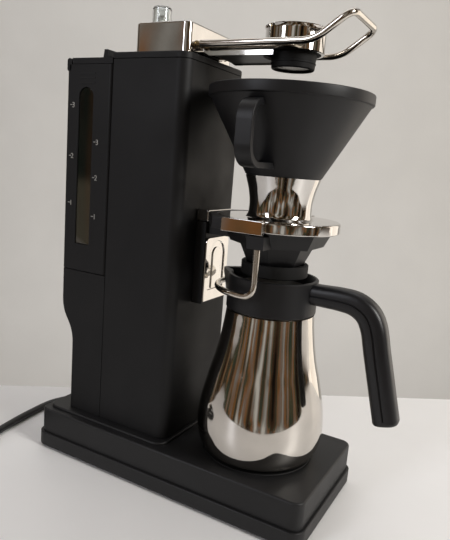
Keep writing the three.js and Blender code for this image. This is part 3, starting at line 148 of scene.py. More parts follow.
# %% Nodes
def add(material, kind, settings=None, **links):
    """Adds a node. settings are its properties and input values, and links are sockets to plug in."""
    tree = material.node_tree
    node = tree.nodes.new(kind)
    for key, value in (settings or {}).items():
        if hasattr(node, key) and not key[0].isupper():
            setattr(node, key, value)
        else:
            node.inputs[key].default_value = value
    for key, socket in links.items():
        target = next(s for s in node.inputs if s.name.replace(" ", "_") == key)
        tree.links.new(socket, target)
    return node


def ramp(material, socket, low, high, dark, light):
    """A grey-level pattern turned into two colours, between the levels low and high."""
    node = add(material, "ShaderNodeValToRGB", Fac=socket)
    first, last = node.color_ramp.elements
    first.position, last.position = low, high
    first.color, last.color = dark, light
    return node.outputs["Color"]


print("node helpers ready")


# %% [markdown]
# ### One finish
# No real surface has one colour and one gloss all over. Each finish is a Principled shader with a
# slow noise that shifts its colour and roughness in patches, and a fine noise that gives it a
# grain in relief. An image texture could do the same, but a noise has no seams and no set size,
# and both noises are given in millimetres.

# %% One finish
def finish(
    name,
    color,
    roughness,
    metallic=0.0,
    grain_mm=0.0,
    relief_mm=0.0,
    spread=0.06,
    patch_mm=40.0,
    dust=0.0,
    stretch=(1, 1, 1),
    **shader,
):
    """A finish with patches of slightly different colour and gloss, and a fine grain in relief.
    spread is how far colour and gloss stray, and dust is a little white in the light patches."""
    material = bpy.data.materials.new(name)
    material.use_nodes = True
    tree = material.node_tree
    tree.nodes.clear()
    output = add(material, "ShaderNodeOutputMaterial")
    surface = add(material, "ShaderNodeBsdfPrincipled", {"Metallic": metallic, **shader})
    tree.links.new(surface.outputs["BSDF"], output.inputs["Surface"])
    place = add(material, "ShaderNodeTexCoord").outputs["Object"]
    place = add(material, "ShaderNodeMapping", {"Scale": stretch}, Vector=place).outputs["Vector"]
    slow = {"Scale": 1 / (patch_mm * MM), "Detail": 4.0}
    patches = add(material, "ShaderNodeTexNoise", slow, Vector=place).outputs["Fac"]
    tone = linear(color)
    dark = tuple(c * (1 - spread) for c in tone[:3]) + (1,)
    light = tuple(min(1, c * (1 + spread) + dust) for c in tone[:3]) + (1,)
    tree.links.new(ramp(material, patches, 0.35, 0.7, dark, light), surface.inputs["Base Color"])
    limits = {"From Min": 0.3, "From Max": 0.7}
    limits |= {"To Min": roughness * (1 - spread), "To Max": roughness * (1 + 2 * spread)}
    gloss = add(material, "ShaderNodeMapRange", limits, Value=patches)
    tree.links.new(gloss.outputs["Result"], surface.inputs["Roughness"])
    if relief_mm:
        fine = {"Scale": 1 / (grain_mm * MM), "Detail": 2.0}
        grain = add(material, "ShaderNodeTexNoise", fine, Vector=place).outputs["Fac"]
        depth = {"Strength": 1.0, "Distance": relief_mm * MM}
        bump = add(material, "ShaderNodeBump", depth, Height=grain)
        tree.links.new(bump.outputs["Normal"], surface.inputs["Normal"])
    return material


print("finish ready")


# %% [markdown]
# ### Moulded plastics
# The tower and tank are injection-moulded ABS with a spark-eroded texture, which reads as soft
# matt black. The base is a smoother moulding. The dripper, collar and handle are satin
# polypropylene and nylon, whose soft sheen shows their curves. The specular level is a little
# under that of a clean plastic, because the texture traps light. The marks are pad-printed ink.

# %% Plastics
def shine(level):
    """The specular level, under the name that the shader has for it."""
    return {"Specular IOR Level": level}


TEXTURED_ABS = finish(
    "textured_black_abs",
    "#101011",
    0.56,
    grain_mm=0.7,
    relief_mm=0.035,
    spread=0.1,
    dust=0.001,
    **shine(0.32),
)
SMOOTH_ABS = finish(
    "smooth_grey_black_abs",
    "#161617",
    0.46,
    grain_mm=0.5,
    relief_mm=0.012,
    spread=0.08,
    dust=0.001,
    **shine(0.36),
)
SATIN_PP = finish(
    "satin_black_polypropylene", "#101012", 0.44, grain_mm=0.5, relief_mm=0.015, spread=0.08, **shine(0.4)
)
SOFT_GRIP = finish(
    "satin_black_nylon_grip", "#0f0f12", 0.36, grain_mm=0.45, relief_mm=0.012, spread=0.1, **shine(0.45)
)
DARK_PLASTIC = finish("moulded_black_plastic", "#0c0c0d", 0.42, grain_mm=0.6, relief_mm=0.012)
WHITE_SILICONE = finish("white_silicone", "#e6e4de", 0.45, grain_mm=0.6, relief_mm=0.01, spread=0.03)
PRINT = finish(
    "pad_printed_white_ink", "#a9a8a3", 0.6, grain_mm=0.3, relief_mm=0.004, spread=0.08, patch_mm=3
)
print("materials with the plastics", len(bpy.data.materials))

# %% [markdown]
# ### Metals
# The bright parts are chrome plate over metal, and the server is mirror-polished stainless steel.
# Both show the room, so their colour is a plain warm grey and what matters is a low roughness
# with faint smears. The polished steel also has a very shallow waviness from spinning.

# %% Metals
CHROME = finish(
    "polished_chrome_plate", "#cfccc8", 0.06, 1.0, grain_mm=22, relief_mm=0.02, spread=0.05, patch_mm=15
)
STEEL = finish(
    "polished_stainless_steel", "#cdc8c1", 0.075, 1.0, grain_mm=24, relief_mm=0.1, spread=0.05, patch_mm=18
)
ROD_STEEL = finish(
    "drawn_stainless_rod", "#cfc9c0", 0.14, 1.0, grain_mm=3, relief_mm=0.006, spread=0.06, patch_mm=8
)
BRUSHED = finish(
    "brushed_stainless_steel", "#b9b6b1", 0.3, 1.0, grain_mm=0.8, relief_mm=0.01, stretch=(1, 1, 12)
)
COPPER = finish("drawn_copper_tube", "#b97752", 0.28, 1.0, grain_mm=2, relief_mm=0.01)
BRASS = finish("turned_brass", "#a8946c", 0.25, 1.0, grain_mm=1, relief_mm=0.006)
print("materials with the metals", len(bpy.data.materials))

# %% [markdown]
# ### Rubber and circuit board
# Feet, pad and shower nozzle are moulded silicone, which is dull. The lead's PVC sheath is a
# little glossier, with a fine extruded grain. The board inside has a green solder mask.

# %% Rubber and board
RUBBER = finish(
    "black_silicone_rubber", "#0a0a0a", 0.62, grain_mm=0.7, relief_mm=0.02, spread=0.12, **shine(0.3)
)
SHEATH = finish("black_pvc_sheath", "#131314", 0.38, grain_mm=0.9, relief_mm=0.012, spread=0.1)
BOARD = finish("green_solder_mask", "#23583a", 0.35, grain_mm=1.5, relief_mm=0.02, spread=0.2, patch_mm=4)
print("rubber, sheath and board made")

# %% [markdown]
# ### Clear plastic
# The steam cap is clear polycarbonate, so it is fully transmissive. The gauge window is acrylic
# with a dark tank behind it. Real water would need a second surface inside, so the window's own
# colour says how full the tank is: lighter below the water line and nearly black above it. That
# lighter band is painted colour that stands in for the water and for a painted reflection on the pane.

# %% Clear plastic
CLEAR = finish(
    "clear_polycarbonate",
    "#eef2f2",
    0.04,
    grain_mm=8,
    relief_mm=0.01,
    **{"Transmission Weight": 1.0, "IOR": 1.585},
)
SMOKED = finish(
    "clear_gauge_window",
    "#2e302b",
    0.03,
    grain_mm=8,
    relief_mm=0.01,
    spread=0.5,
    patch_mm=14,
    stretch=(1, 1, 0.4),
    **{"Transmission Weight": 0.45, "IOR": 1.49},
)
WATER_LINE = 0.232
inside = add(SMOKED, "ShaderNodeTexCoord").outputs["Object"]
height = add(SMOKED, "ShaderNodeSeparateXYZ", Vector=inside).outputs["Z"]
# Painted water and painted reflection: below WATER_LINE the pane's colour is lighter, above it nearly black.
water_and_painted_reflection = ramp(SMOKED, height, WATER_LINE, WATER_LINE + 0.008, linear("#6b6454"), linear("#1d1f1b"))
pane = next(n for n in SMOKED.node_tree.nodes if n.bl_idname == "ShaderNodeBsdfPrincipled")
tint = add(SMOKED, "ShaderNodeMix", {"data_type": "RGBA", "blend_type": "MIX"})
tint.inputs[0].default_value = 0.65
SMOKED.node_tree.links.new(pane.inputs["Base Color"].links[0].from_socket, tint.inputs[6])
SMOKED.node_tree.links.new(water_and_painted_reflection, tint.inputs[7])
SMOKED.node_tree.links.new(tint.outputs[2], pane.inputs["Base Color"])
print("materials", len(bpy.data.materials))


# %% [markdown]
# ## Blocks with eased edges
# Half of this machine is boxes: the base, the tower, the tank and the head. A moulded or pressed
# edge is never sharp, so a block is a cube whose chosen edges are bevelled: first the corners
# along one axis, then the rim round either end. A Bevel modifier would treat all edges alike,
# and here the corners are far rounder than the rims.

# %% Blocks
def block(x, y, z, corner=0.0, along=2, pick=lambda v: True, low=0.0, high=0.0, edge_all=0.0, steps=9):
    """A block between pairs of limits. Edges along one axis get the corner radius where pick says so.
    Then the edge round its low end and round its high end are eased by low and high."""
    bm = bmesh.new()
    bmesh.ops.create_cube(bm, size=1)
    for v in bm.verts:
        v.co = Vector([limits[0] if c < 0 else limits[1] for c, limits in zip(v.co, (x, y, z))])
    if corner:
        run = [e for e in bm.edges if abs((e.verts[0].co - e.verts[1].co)[along]) > 1e-6]
        round_off(bm, [e for e in run if pick(e.verts[0].co)], corner, steps)
    for width, level in ((low, (x, y, z)[along][0]), (high, (x, y, z)[along][1])):
        if width:
            rim = [e for e in bm.edges if all(abs(v.co[along] - level) < 1e-5 for v in e.verts)]
            round_off(bm, rim, width, 4)
    return ease(bm, edge_all, angle=50) if edge_all else bm


def round_off(bm, edges, width, steps, clamp=False):
    """Bevels edges to a round of the given width."""
    bmesh.ops.bevel(
        bm,
        geom=edges,
        offset=width,
        affect="EDGES",
        segments=steps,
        profile=0.5,
        material=-1,
        clamp_overlap=clamp,
    )


def ease(bm, width, steps=2, angle=30):
    """Bevels every edge that is sharper than angle."""
    bend = math.radians(angle)
    sharp = [e for e in bm.edges if len(e.link_faces) == 2 and e.calc_face_angle(0) > bend]
    round_off(bm, sharp, width, steps, clamp=True)
    return bm


print("blocks ready")


# %% [markdown]
# ## Turned and pushed shapes
# The cone, stem, disc, flask, collar and feet are round, as if turned on a lathe. Each is half of
# its cut-through outline, spun once round an upright line. What has the same outline all along,
# such as the rear cover with its long S, is that outline pushed straight along an axis.

# %% Turned and pushed shapes
def spun(profile, x, y, steps=96, close=True):
    """A profile of (radius, height) pairs spun round the upright line through x, y."""
    bm = bmesh.new()
    verts = [bm.verts.new((x + r, y, z)) for r, z in profile]
    pairs = list(zip(verts, verts[1:] + verts[:1])) if close else list(zip(verts, verts[1:]))
    edges = [bm.edges.new(pair) for pair in pairs]
    bmesh.ops.spin(
        bm, geom=verts + edges, cent=(x, y, 0), axis=(0, 0, 1), angle=2 * math.pi, steps=steps, use_merge=True
    )
    bmesh.ops.remove_doubles(bm, verts=bm.verts[:], dist=1e-4)
    bmesh.ops.dissolve_degenerate(bm, edges=bm.edges[:], dist=1e-5)
    bmesh.ops.recalc_face_normals(bm, faces=bm.faces[:])
    return bm


def outline_prism(points, axis, low, high):
    """A closed outline pushed along an axis. Across X it holds (y, z) points, and across Z (x, y)."""
    bm = bmesh.new()
    place = (lambda a, b: (low, a, b)) if axis == "X" else (lambda a, b: (a, b, low))
    face = bm.faces.new([bm.verts.new(place(a, b)) for a, b in points])
    grown = bmesh.ops.extrude_face_region(bm, geom=[face])["geom"]
    step = Vector((high - low, 0, 0)) if axis == "X" else Vector((0, 0, high - low))
    bmesh.ops.translate(bm, verts=[g for g in grown if isinstance(g, bmesh.types.BMVert)], vec=step)
    bmesh.ops.recalc_face_normals(bm, faces=bm.faces[:])
    return bm


print("turned and pushed shapes ready")


# %% [markdown]
# ## Arcs and smooth lines
# A round stretch of an outline is an arc, so it stays exactly round. A line that a designer draws
# by eye, such as the flask's wall or the handle, is a smooth curve through a few chosen points.

# %% Arcs and smooth lines
def arc(cx, cy, radius, start, end, steps=8):
    """Points on an arc, in degrees, with both ends."""
    angles = [math.radians(start + (end - start) * i / steps) for i in range(steps + 1)]
    return [(cx + radius * math.cos(a), cy + radius * math.sin(a)) for a in angles]


def curve_through(points, steps=6):
    """A smooth line through points of any dimension, by Catmull-Rom."""
    points = [Vector(p) for p in points]
    padded = [2 * points[0] - points[1], *points, 2 * points[-1] - points[-2]]
    line = []
    for a, b, c, d in zip(padded, padded[1:], padded[2:], padded[3:]):
        for i in range(steps):
            t = i / steps
            squared = (2 * a - 5 * b + 4 * c - d) * t**2
            cubed = (3 * b - a - 3 * c + d) * t**3
            line.append(0.5 * ((2 * b) + (c - a) * t + squared + cubed))
    return [*line, points[-1]]


def bent_line(corners, radius, steps=8):
    """A line through corners, each rounded by a curve that starts radius before it."""
    corners = [Vector(c) for c in corners]
    line = [corners[0]]
    for a, b, c in zip(corners, corners[1:], corners[2:]):
        before = b + (a - b).normalized() * radius
        after = b + (c - b).normalized() * radius
        for i in range(steps + 1):
            t = i / steps
            line.append(before.lerp(b, t).lerp(b.lerp(after, t), t))
    return [*line, corners[-1]]


print("an arc of", len(arc(0, 0, 1, 0, 90)), "points")


# %% [markdown]
# ## Joining, cutting and reading
# A hollow moulding is a solid with its room cut out, which is how its mould works too. The exact
# Boolean gives clean walls, and it needs objects, so the shapes become objects for a moment. A
# piece whose CAD shape is already right is read from the frame, and only its edges are eased.

# %% Joining, cutting and reading
def merged(*parts):
    """Several shapes in one mesh."""
    total = bmesh.new()
    for bm in parts:
        mesh = bpy.data.meshes.new("part")
        bm.to_mesh(mesh)
        bm.free()
        total.from_mesh(mesh)
        bpy.data.meshes.remove(mesh)
    return total


def as_object(bm, name="tool"):
    """Puts a shape in the scene as an object."""
    mesh = bpy.data.meshes.new(name)
    bm.to_mesh(mesh)
    bm.free()
    obj = bpy.data.objects.new(name, mesh)
    bpy.context.collection.objects.link(obj)
    return obj


def carve(bm, *tools, operation="DIFFERENCE"):
    """Cuts shapes out of a shape, or joins them to it, and gives the result back as a bmesh."""
    obj = as_object(bm)
    for tool in tools:
        other = as_object(tool)
        change = obj.modifiers.new("carve", "BOOLEAN")
        change.operation, change.object, change.solver = operation, other, "EXACT"
        result = bpy.data.meshes.new_from_object(obj.evaluated_get(bpy.context.evaluated_depsgraph_get()))
        obj.modifiers.clear()
        old, obj.data = obj.data, result
        bpy.data.meshes.remove(old)
        other_mesh = other.data
        bpy.data.objects.remove(other)
        bpy.data.meshes.remove(other_mesh)
    bm = bmesh.new()
    bm.from_mesh(obj.data)
    mesh = obj.data
    bpy.data.objects.remove(obj)
    bpy.data.meshes.remove(mesh)
    return flat_faces(bm, 1e-4)


def flat_faces(bm, gap):
    """Merges doubled points, and triangles that lie in one plane."""
    bmesh.ops.remove_doubles(bm, verts=bm.verts[:], dist=gap)
    bmesh.ops.dissolve_limit(bm, angle_limit=math.radians(0.5), verts=bm.verts[:], edges=bm.edges[:])
    return bm


def from_cad(node):
    """A CAD node's mesh in millimetres, with its loose triangles merged into flat faces."""
    bm = bmesh.new()
    bm.from_mesh(bpy.data.objects[node].data)
    bmesh.ops.transform(bm, matrix=TO_FRAME.inverted(), verts=bm.verts[:])
    return flat_faces(bm, 1e-3)


# %% [markdown]
# ## Rods
# The lifting loop, the lever and the hinge pins are bent from round bar. A curve with a round
# bevel gives an even thickness round every bend, and it is turned into a mesh at once.

# %% Rods
def rod(points, radius, sides=20, closed=False):
    """A round rod along points, with rounded ends closed, as a bmesh."""
    data = bpy.data.curves.new("rod", "CURVE")
    data.dimensions = "3D"
    spline = data.splines.new("POLY")
    spline.points.add(len(points) - 1)
    for point, place in zip(spline.points, points):
        point.co = (*place, 1)
    spline.use_cyclic_u = closed
    data.bevel_depth = radius
    data.bevel_resolution = max(1, sides // 4 - 1)
    data.use_fill_caps = True
    obj = bpy.data.objects.new("rod", data)
    bpy.context.collection.objects.link(obj)
    mesh = bpy.data.meshes.new_from_object(obj.evaluated_get(bpy.context.evaluated_depsgraph_get()))
    bm = bmesh.new()
    bm.from_mesh(mesh)
    bpy.data.objects.remove(obj)
    bpy.data.meshes.remove(mesh)
    bmesh.ops.remove_doubles(bm, verts=bm.verts[:], dist=1e-4)
    bmesh.ops.recalc_face_normals(bm, faces=bm.faces[:])
    return bm


print("rods ready")

# %% [markdown]
# ## A finished piece
# A piece is moved to the frame, shaded smooth except at its sharp edges, and given its material.
# Weighted normals keep large flat faces flat beside their small rounded edges.

# %% A finished piece
MADE = []


def piece(bm, name, body, slot, material, *nodes, smooth=40):
    """Puts a finished shape in the frame: it rides on a body and stands for its CAD nodes."""
    bmesh.ops.transform(bm, matrix=TO_FRAME, verts=bm.verts[:])
    for face in bm.faces:
        face.smooth = True
    for edge in bm.edges:
        edge.smooth = not (len(edge.link_faces) == 2 and edge.calc_face_angle(0) > math.radians(smooth))
    obj = as_object(bm, name)
    obj.data.materials.append(material)
    normals = obj.modifiers.new("weighted normals", "WEIGHTED_NORMAL")
    normals.keep_sharp = True
    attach(obj, body)
    if nodes:
        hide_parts(*nodes)
    MADE.append(obj)
    return obj


print("pieces so far", len(MADE))

# %% [markdown]
# ## The lead
# The lead leaves the back of the base through a tapered strain relief, bends to the left and lies
# on the table. A brewer like this has about 1.4 m, so the rest is stored as a neat round coil,
# three turns wide and two turns high, with the plug lying across it.

# %% Lead
CORD_RADIUS = 3.25
RELIEF, COIL, PLUG = Box("strain_relief"), Box("cord_coil"), Box("plug")
COIL_X, COIL_Y = (COIL.x0 + COIL.x1) / 2, (COIL.y0 + COIL.y1) / 2
COIL_RADIUS = 36
PLUG_Y, PLUG_Z = (PLUG.y0 + PLUG.y1) / 2, (PLUG.z0 + PLUG.z1) / 2
RELIEF_X, RELIEF_Z = (RELIEF.x0 + RELIEF.x1) / 2, (RELIEF.z0 + RELIEF.z1) / 2
ROUTE = [
    (24, 148.3, 8.8),
    (23.4, 155.5, 7.5),
    (19.5, 163, 5),
    (13, 168.5, 3.7),
    (4, 171.6, 3.45),
    (-8, 172, 3.4),
    (-22, 171, 3.4),
    (-38, 169.3, 3.4),
    (-54, 166.8, 3.4),
    (-74.2, 162.9, 3.4),
    (-92, 157.2, 3.4),
]


def coil_turns(per_turn=28, turns=5.25):
    """Points round the coil: inwards along the bottom layer, up a layer, and outwards again."""
    pitch = 2 * CORD_RADIUS
    points = []
    for i in range(round(per_turn * turns) + 1):
        turn = i / per_turn
        inwards = min(1, turn / 2.35)
        rise = min(1, max(0, (turn - 2.35) / 0.4))
        outwards = min(1, max(0, (turn - 2.75) / 2.3))
        radius = COIL_RADIUS + pitch * (1 - 2 * inwards + 2 * outwards)
        height = CORD_RADIUS + 0.15 + pitch * rise * rise * (3 - 2 * rise)
        angle = -math.pi / 2 - 2 * math.pi * turn
        points.append((COIL_X + radius * math.cos(angle), COIL_Y + radius * math.sin(angle), height))
    return points


TO_PLUG = [
    (COIL_X - 41.6, COIL_Y + 9, 10.6),
    (COIL_X - 38.6, COIL_Y + 19, 14.0),
    (COIL_X - 33.2, COIL_Y + 28, 18.6),
    (COIL_X - 25.6, COIL_Y + 34, 21.4),
    (COIL_X - 18.0, PLUG_Y, PLUG_Z),
    (COIL_X - 10.0, PLUG_Y, PLUG_Z),
]
print("coil", 2 * COIL_RADIUS, "mm across at the middle of its turns")

# %% [markdown]
# The lead is one curve with a round bevel, so its thickness is the same in every bend. The run,
# the coil and the climb to the plug follow each other in one line.

# %% One lead
LINE = curve_through([(RELIEF_X, 138, RELIEF_Z), *ROUTE], 4)
LINE += [Vector(p) for p in coil_turns()]
LINE += curve_through(TO_PLUG, 5)
LINE = [TO_FRAME @ p for p in LINE]
data = bpy.data.curves.new("power_lead", "CURVE")
data.dimensions = "3D"
spline = data.splines.new("POLY")
spline.points.add(len(LINE) - 1)
for point, place in zip(spline.points, LINE):
    point.co = (*place, 1)
data.bevel_depth = CORD_RADIUS * MM
data.bevel_resolution = 4
data.use_fill_caps = True
data.materials.append(SHEATH)
lead = bpy.data.objects.new("power_lead", data)
bpy.context.collection.objects.link(lead)
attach(lead, "root")
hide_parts("power_cord", "cord_coil")

# %% [markdown]
# The strain relief is a rubber boot whose ribs let it bend a little at a time. The plug is
# moulded round its two blades.

# %% Strain relief and plug
HALF_DEPTH = (PAN.y1 - PAN.y0) / 2


def relief_shape():
    """A ribbed, tapered boot. It is spun upright and then laid along +Y."""
    long = RELIEF.y1 - HALF_DEPTH
    profile = [(3.3, -9), (4.4, -9), (4.4, 0.3), (6.1, 0.3), (6.2, 0.6), (6.2, 2.0), (5.7, 2.6)]
    ribs, first, pitch, groove = 6, 4.2, 2.7, 0.75
    for i in range(ribs):
        at = first + i * pitch
        radius = 5.5 - 1.1 * (at / long)
        profile += [(radius, at), (radius - groove, at + 0.35)]
        profile += [(radius - groove, at + 1.0), (radius - 0.05, at + 1.35)]
    profile += [(4.2, long - 0.6), (3.9, long), (3.3, long)]
    bm = spun(profile, 0, 0, 48)
    bmesh.ops.rotate(bm, verts=bm.verts[:], cent=(0, 0, 0), matrix=Matrix.Rotation(-math.pi / 2, 3, "X"))
    bmesh.ops.translate(bm, verts=bm.verts[:], vec=(RELIEF_X, HALF_DEPTH, RELIEF_Z))
    bmesh.ops.recalc_face_normals(bm, faces=bm.faces[:])
    return bm


relief = piece(relief_shape(), "lead_strain_relief", "root", "rubber_black", RUBBER, "strain_relief")
plug_body = outline_prism(
    [
        (COIL_X - 13, PLUG_Y - 9),
        (COIL_X - 7, PLUG.y0 + 0.1),
        (COIL_X + 13, PLUG.y0 + 0.1),
        (COIL_X + 13, PLUG.y1 - 0.1),
        (COIL_X - 7, PLUG.y1 - 0.1),
        (COIL_X - 13, PLUG_Y + 9),
    ],
    "Z",
    PLUG.z0 + 0.1,
    PLUG.z1 - 0.1,
)
ease(plug_body, 2.2, 4)
tail = rod([(COIL_X - 24, PLUG_Y, PLUG_Z), (COIL_X - 10, PLUG_Y, PLUG_Z)], 4.6, 28)
plug = piece(merged(plug_body, tail), "lead_plug", "root", "cord_black", RUBBER, "plug")
blades = [
    ease(
        block((COIL_X + 10, PLUG.x1), (y - 0.75, y + 0.75), (PLUG_Z - 3.2, PLUG_Z + 3.2)),
        0.35,
    )
    for y in (PLUG_Y - 6.35, PLUG_Y + 6.35)
]
prongs = piece(merged(*blades), "lead_plug_blades", "root", "brass", BRASS)
print("pieces of the lead", len(MADE) + 1)

# %% [markdown]
# ## The base
# The base is a shallow pan with a lighter rim line, and a housing set back from it by 2 mm. A low
# plinth with a soft welt carries the tower, and the server stands on a round silicone pad.

# %% Base
pan = block((PAN.x0, PAN.x1), (PAN.y0, PAN.y1), (PAN.z0, HOUSING.z0), corner=10, low=1.2, high=0.9)
gland = rod([(RELIEF_X, HALF_DEPTH - 12, RELIEF_Z), (RELIEF_X, HALF_DEPTH + 5, RELIEF_Z)], 4.7, 32)
piece(carve(pan, gland), "base_lower_pan", "root", "base_grey", SMOOTH_ABS, "base_pan")

print("lower pan", round(PAN.x1 - PAN.x0, 1), "by", round(PAN.y1 - PAN.y0, 1), "mm")

# %% [markdown]
# The housing sits on the pan. The pad's seat and the room behind the switch are cut out of it, and
# the plinth is laid over it as a second block, because it is a separate step of the same moulding.

# %% Upper housing
DECK = PAD.z1 - 0.2
housing = block((HOUSING.x0, HOUSING.x1), (HOUSING.y0, HOUSING.y1), (HOUSING.z0, DECK), corner=7.8, high=1.8)
pad_seat = spun([(0, DECK - 0.8), (44.0, DECK - 0.8), (44.4, DECK + 0.4), (0, DECK + 0.4)], 0, AXIS_Y, 128)
switch_room = block((43, 60), (28, 52), (16, 33))
housing = carve(housing, pad_seat, switch_room)
plinth = block((-51, 51), (TOWER.y0 - 3.3, 120.5), (DECK - 0.5, HOUSING.z1), corner=10, high=1.3, steps=12)
piece(merged(housing, plinth), "base_upper_housing", "root", "base_grey", SMOOTH_ABS, "base_housing")

print("deck at", round(DECK, 1), "mm")

# %% [markdown]
# The pad has a fine groove near its rim. Pad and feet are spun, like the parts a lathe would make.
# The switch comes from the CAD shape with its edges eased.

# %% Pad, feet and switch
pad_profile = [(0, PAD.z0), (43.6, PAD.z0), (43.6, PAD.z1 - 0.4), (43.2, PAD.z1), (40.6, PAD.z1)]
pad_profile += [(40.2, PAD.z1 - 0.35), (39.4, PAD.z1 - 0.35), (39.0, PAD.z1), (0, PAD.z1)]
piece(spun(pad_profile, 0, AXIS_Y, 128), "server_rest_pad", "root", "rubber_black", RUBBER, "server_pad")
for i in range(1, 5):
    foot = Box(f"foot_{i}")
    x, y = (foot.x0 + foot.x1) / 2, (foot.y0 + foot.y1) / 2
    profile = [(0, 0), (6.4, 0), (7, 0.5), (7, foot.z1), (0, foot.z1)]
    piece(spun(profile, x, y, 48), f"round_foot_{i}", "root", "rubber_black", RUBBER, f"foot_{i}")

bezel, key = ease(from_cad("switch_frame"), 0.35), ease(from_cad("power_rocker"), 0.5)
piece(bezel, "switch_bezel", "root", "moulded_black", DARK_PLASTIC, "switch_frame")
piece(key, "rocker_key", "rocker", "moulded_black", SATIN_PP, "power_rocker")
print("base pieces", len(MADE))

# %% [markdown]
# ## The tower
# The tower is one U-shaped moulding, open at the back, with a cap plate on top. Only its two front
# corners are rounded, so the blocks round just the edges that lie in front.

# %% Tower
WALL, CORNER = 2.2, 9


def in_front(v):
    """True for the tower's front edges."""
    return v.y < 30


shell = block(
    (TOWER.x0, TOWER.x1), (TOWER.y0, TOWER.y1), (TOWER.z0, TOWER.z1), corner=CORNER, pick=in_front
)
room = block(
    (TOWER.x0 + WALL, TOWER.x1 - WALL),
    (TOWER.y0 + WALL, TOWER.y1 + 20),
    (TOWER.z0 - 1, TOWER.z1 + 1),
    corner=CORNER - WALL,
    pick=in_front,
)
shell = ease(carve(shell, room), 0.35, angle=50)
piece(shell, "tower_u_shell", "root", "housing_black", TEXTURED_ABS, "tower_shell")
plate = block(
    (PLATE.x0, PLATE.x1),
    (PLATE.y0, PLATE.y1),
    (PLATE.z0, PLATE.z1),
    corner=CORNER,
    pick=in_front,
    high=1.6,
    low=0.3,
)
piece(plate, "tower_cap_plate", "root", "housing_black", TEXTURED_ABS, "top_plate")
print("tower height", round(PLATE.z1 - TOWER.z0, 1), "mm")

# %% [markdown]
# ## The rear cover
# The cover behind the tower narrows at the foot and sweeps out again under the tank. Its side is
# one long S, a cubic curve that starts and ends upright, pushed straight from side to side.

# %% Rear cover
WAIST_Y, BEND_LOW, BEND_HIGH = 102, 95, 136
sweep = [(WAIST_Y, REAR.z0), (WAIST_Y, BEND_LOW)]
for i in range(1, 24):
    t = i / 24
    ys = (WAIST_Y, WAIST_Y, REAR.y1, REAR.y1)
    zs = (BEND_LOW, BEND_LOW + 22, BEND_HIGH - 22, BEND_HIGH)
    weights = ((1 - t) ** 3, 3 * t * (1 - t) ** 2, 3 * t * t * (1 - t), t**3)
    sweep.append((sum(w * y for w, y in zip(weights, ys)), sum(w * z for w, z in zip(weights, zs))))
sweep += [(REAR.y1, BEND_HIGH), (REAR.y1, REAR.z1), (REAR.y0, REAR.z1), (REAR.y0, REAR.z0)]
cover = outline_prism(sweep, "X", REAR.x0, REAR.x1)


def is_back_edge(e):
    """True for the sharp edges that run up the back and along its sides."""
    sharp = len(e.link_faces) == 2 and e.calc_face_angle(0) > math.radians(60)
    across_x = abs(e.verts[0].co.x - e.verts[1].co.x) > 1e-6
    return sharp and not across_x and min(v.co.y for v in e.verts) > REAR.y0 + 5


round_off(cover, [e for e in cover.edges if is_back_edge(e)], 3, 5)
ease(cover, 0.4, angle=50)
seat_hole = spun([(0, 138), (12.6, 138), (12.6, 158), (8.9, 158), (8.9, 162), (0, 162)], 0, 89.5, 48)
piece(carve(cover, seat_hole), "rear_swept_cover", "root", "housing_black", TEXTURED_ABS, "rear_cover")
print("tower done, pieces", len(MADE))

# %% [markdown]
# ## The water tank
# The tank lifts off the cover. Its arched gauge window has a clear panel set into the left wall,
# with raised cup numbers and ticks on both sides of it.

# %% Gauge shapes
def arch(y0, y1, z0, z1, low, high):
    """A plate across X with square feet and a round head."""
    middle, radius = (y0 + y1) / 2, (y1 - y0) / 2
    head = arc(middle, z1 - radius, radius, 0, 180, 20)
    return outline_prism([(y0, z0), (y1, z0), *head], "X", low, high)


def figure(char, y, z, height):
    """A raised figure on the tank's left wall."""
    text = bpy.data.curves.new("figure", "FONT")
    text.body = char
    text.size = height * 1.4
    text.extrude = 0.35
    obj = bpy.data.objects.new("figure", text)
    bpy.context.collection.objects.link(obj)
    bm = bmesh.new()
    mesh = bpy.data.meshes.new_from_object(obj.evaluated_get(bpy.context.evaluated_depsgraph_get()))
    bm.from_mesh(mesh)
    bpy.data.objects.remove(obj)
    bpy.data.meshes.remove(mesh)
    face_left = Matrix(((0, 0, -1), (-1, 0, 0), (0, 1, 0)))
    bmesh.ops.transform(bm, matrix=face_left.to_4x4(), verts=bm.verts[:])
    bmesh.ops.translate(bm, verts=bm.verts[:], vec=(TANK.x0, y + height * 0.35, z - height / 2))
    return bm


print("window", round(WINDOW.y1 - WINDOW.y0, 1), "by", round(WINDOW.z1 - WINDOW.z0, 1), "mm")

# %% [markdown]
# The tank is a box with its inside, the window and the valve's hole cut out. Two ears at the back
# hold the lid's pin.

# %% Tank body
tank = block((TANK.x0, TANK.x1), (TANK.y0, TANK.y1), (TANK.z0, LID.z0 - 0.3), corner=3, low=0.5)
inside = block(
    (TANK.x0 + WALL, TANK.x1 - WALL),
    (TANK.y0 + WALL, TANK.y1 - WALL),
    (TANK.z0 + WALL, TANK.z1 + 9),
    corner=2,
)
window_hole = arch(86, 101, WINDOW.z0 - 0.3, WINDOW.z1 + 0.3, TANK.x0 - 2, TANK.x0 + 4)
valve_hole = spun([(0, 155), (5, 155), (5, 170), (0, 170)], 0, 89.5, 40)
tank = carve(tank, inside, window_hole, valve_hole)
ears = []
for side in (-1, 1):
    reach = sorted((side * 44, side * 40.4))
    ears.append(block(reach, (109.8, TANK.y1), (320, TANK.z1), corner=2.2, along=0, edge_all=0.3))
tank = merged(ease(tank, 0.3, angle=50), *ears)
piece(tank, "tank_body", "tank", "housing_black", TEXTURED_ABS, "tank_shell")
panel = arch(WINDOW.y0, WINDOW.y1, WINDOW.z0, WINDOW.z1, WINDOW.x0, WINDOW.x1)
piece(ease(panel, 0.3), "tank_gauge_panel", "tank", "clear_plastic", SMOKED, "tank_window")

print("ears", len(ears))

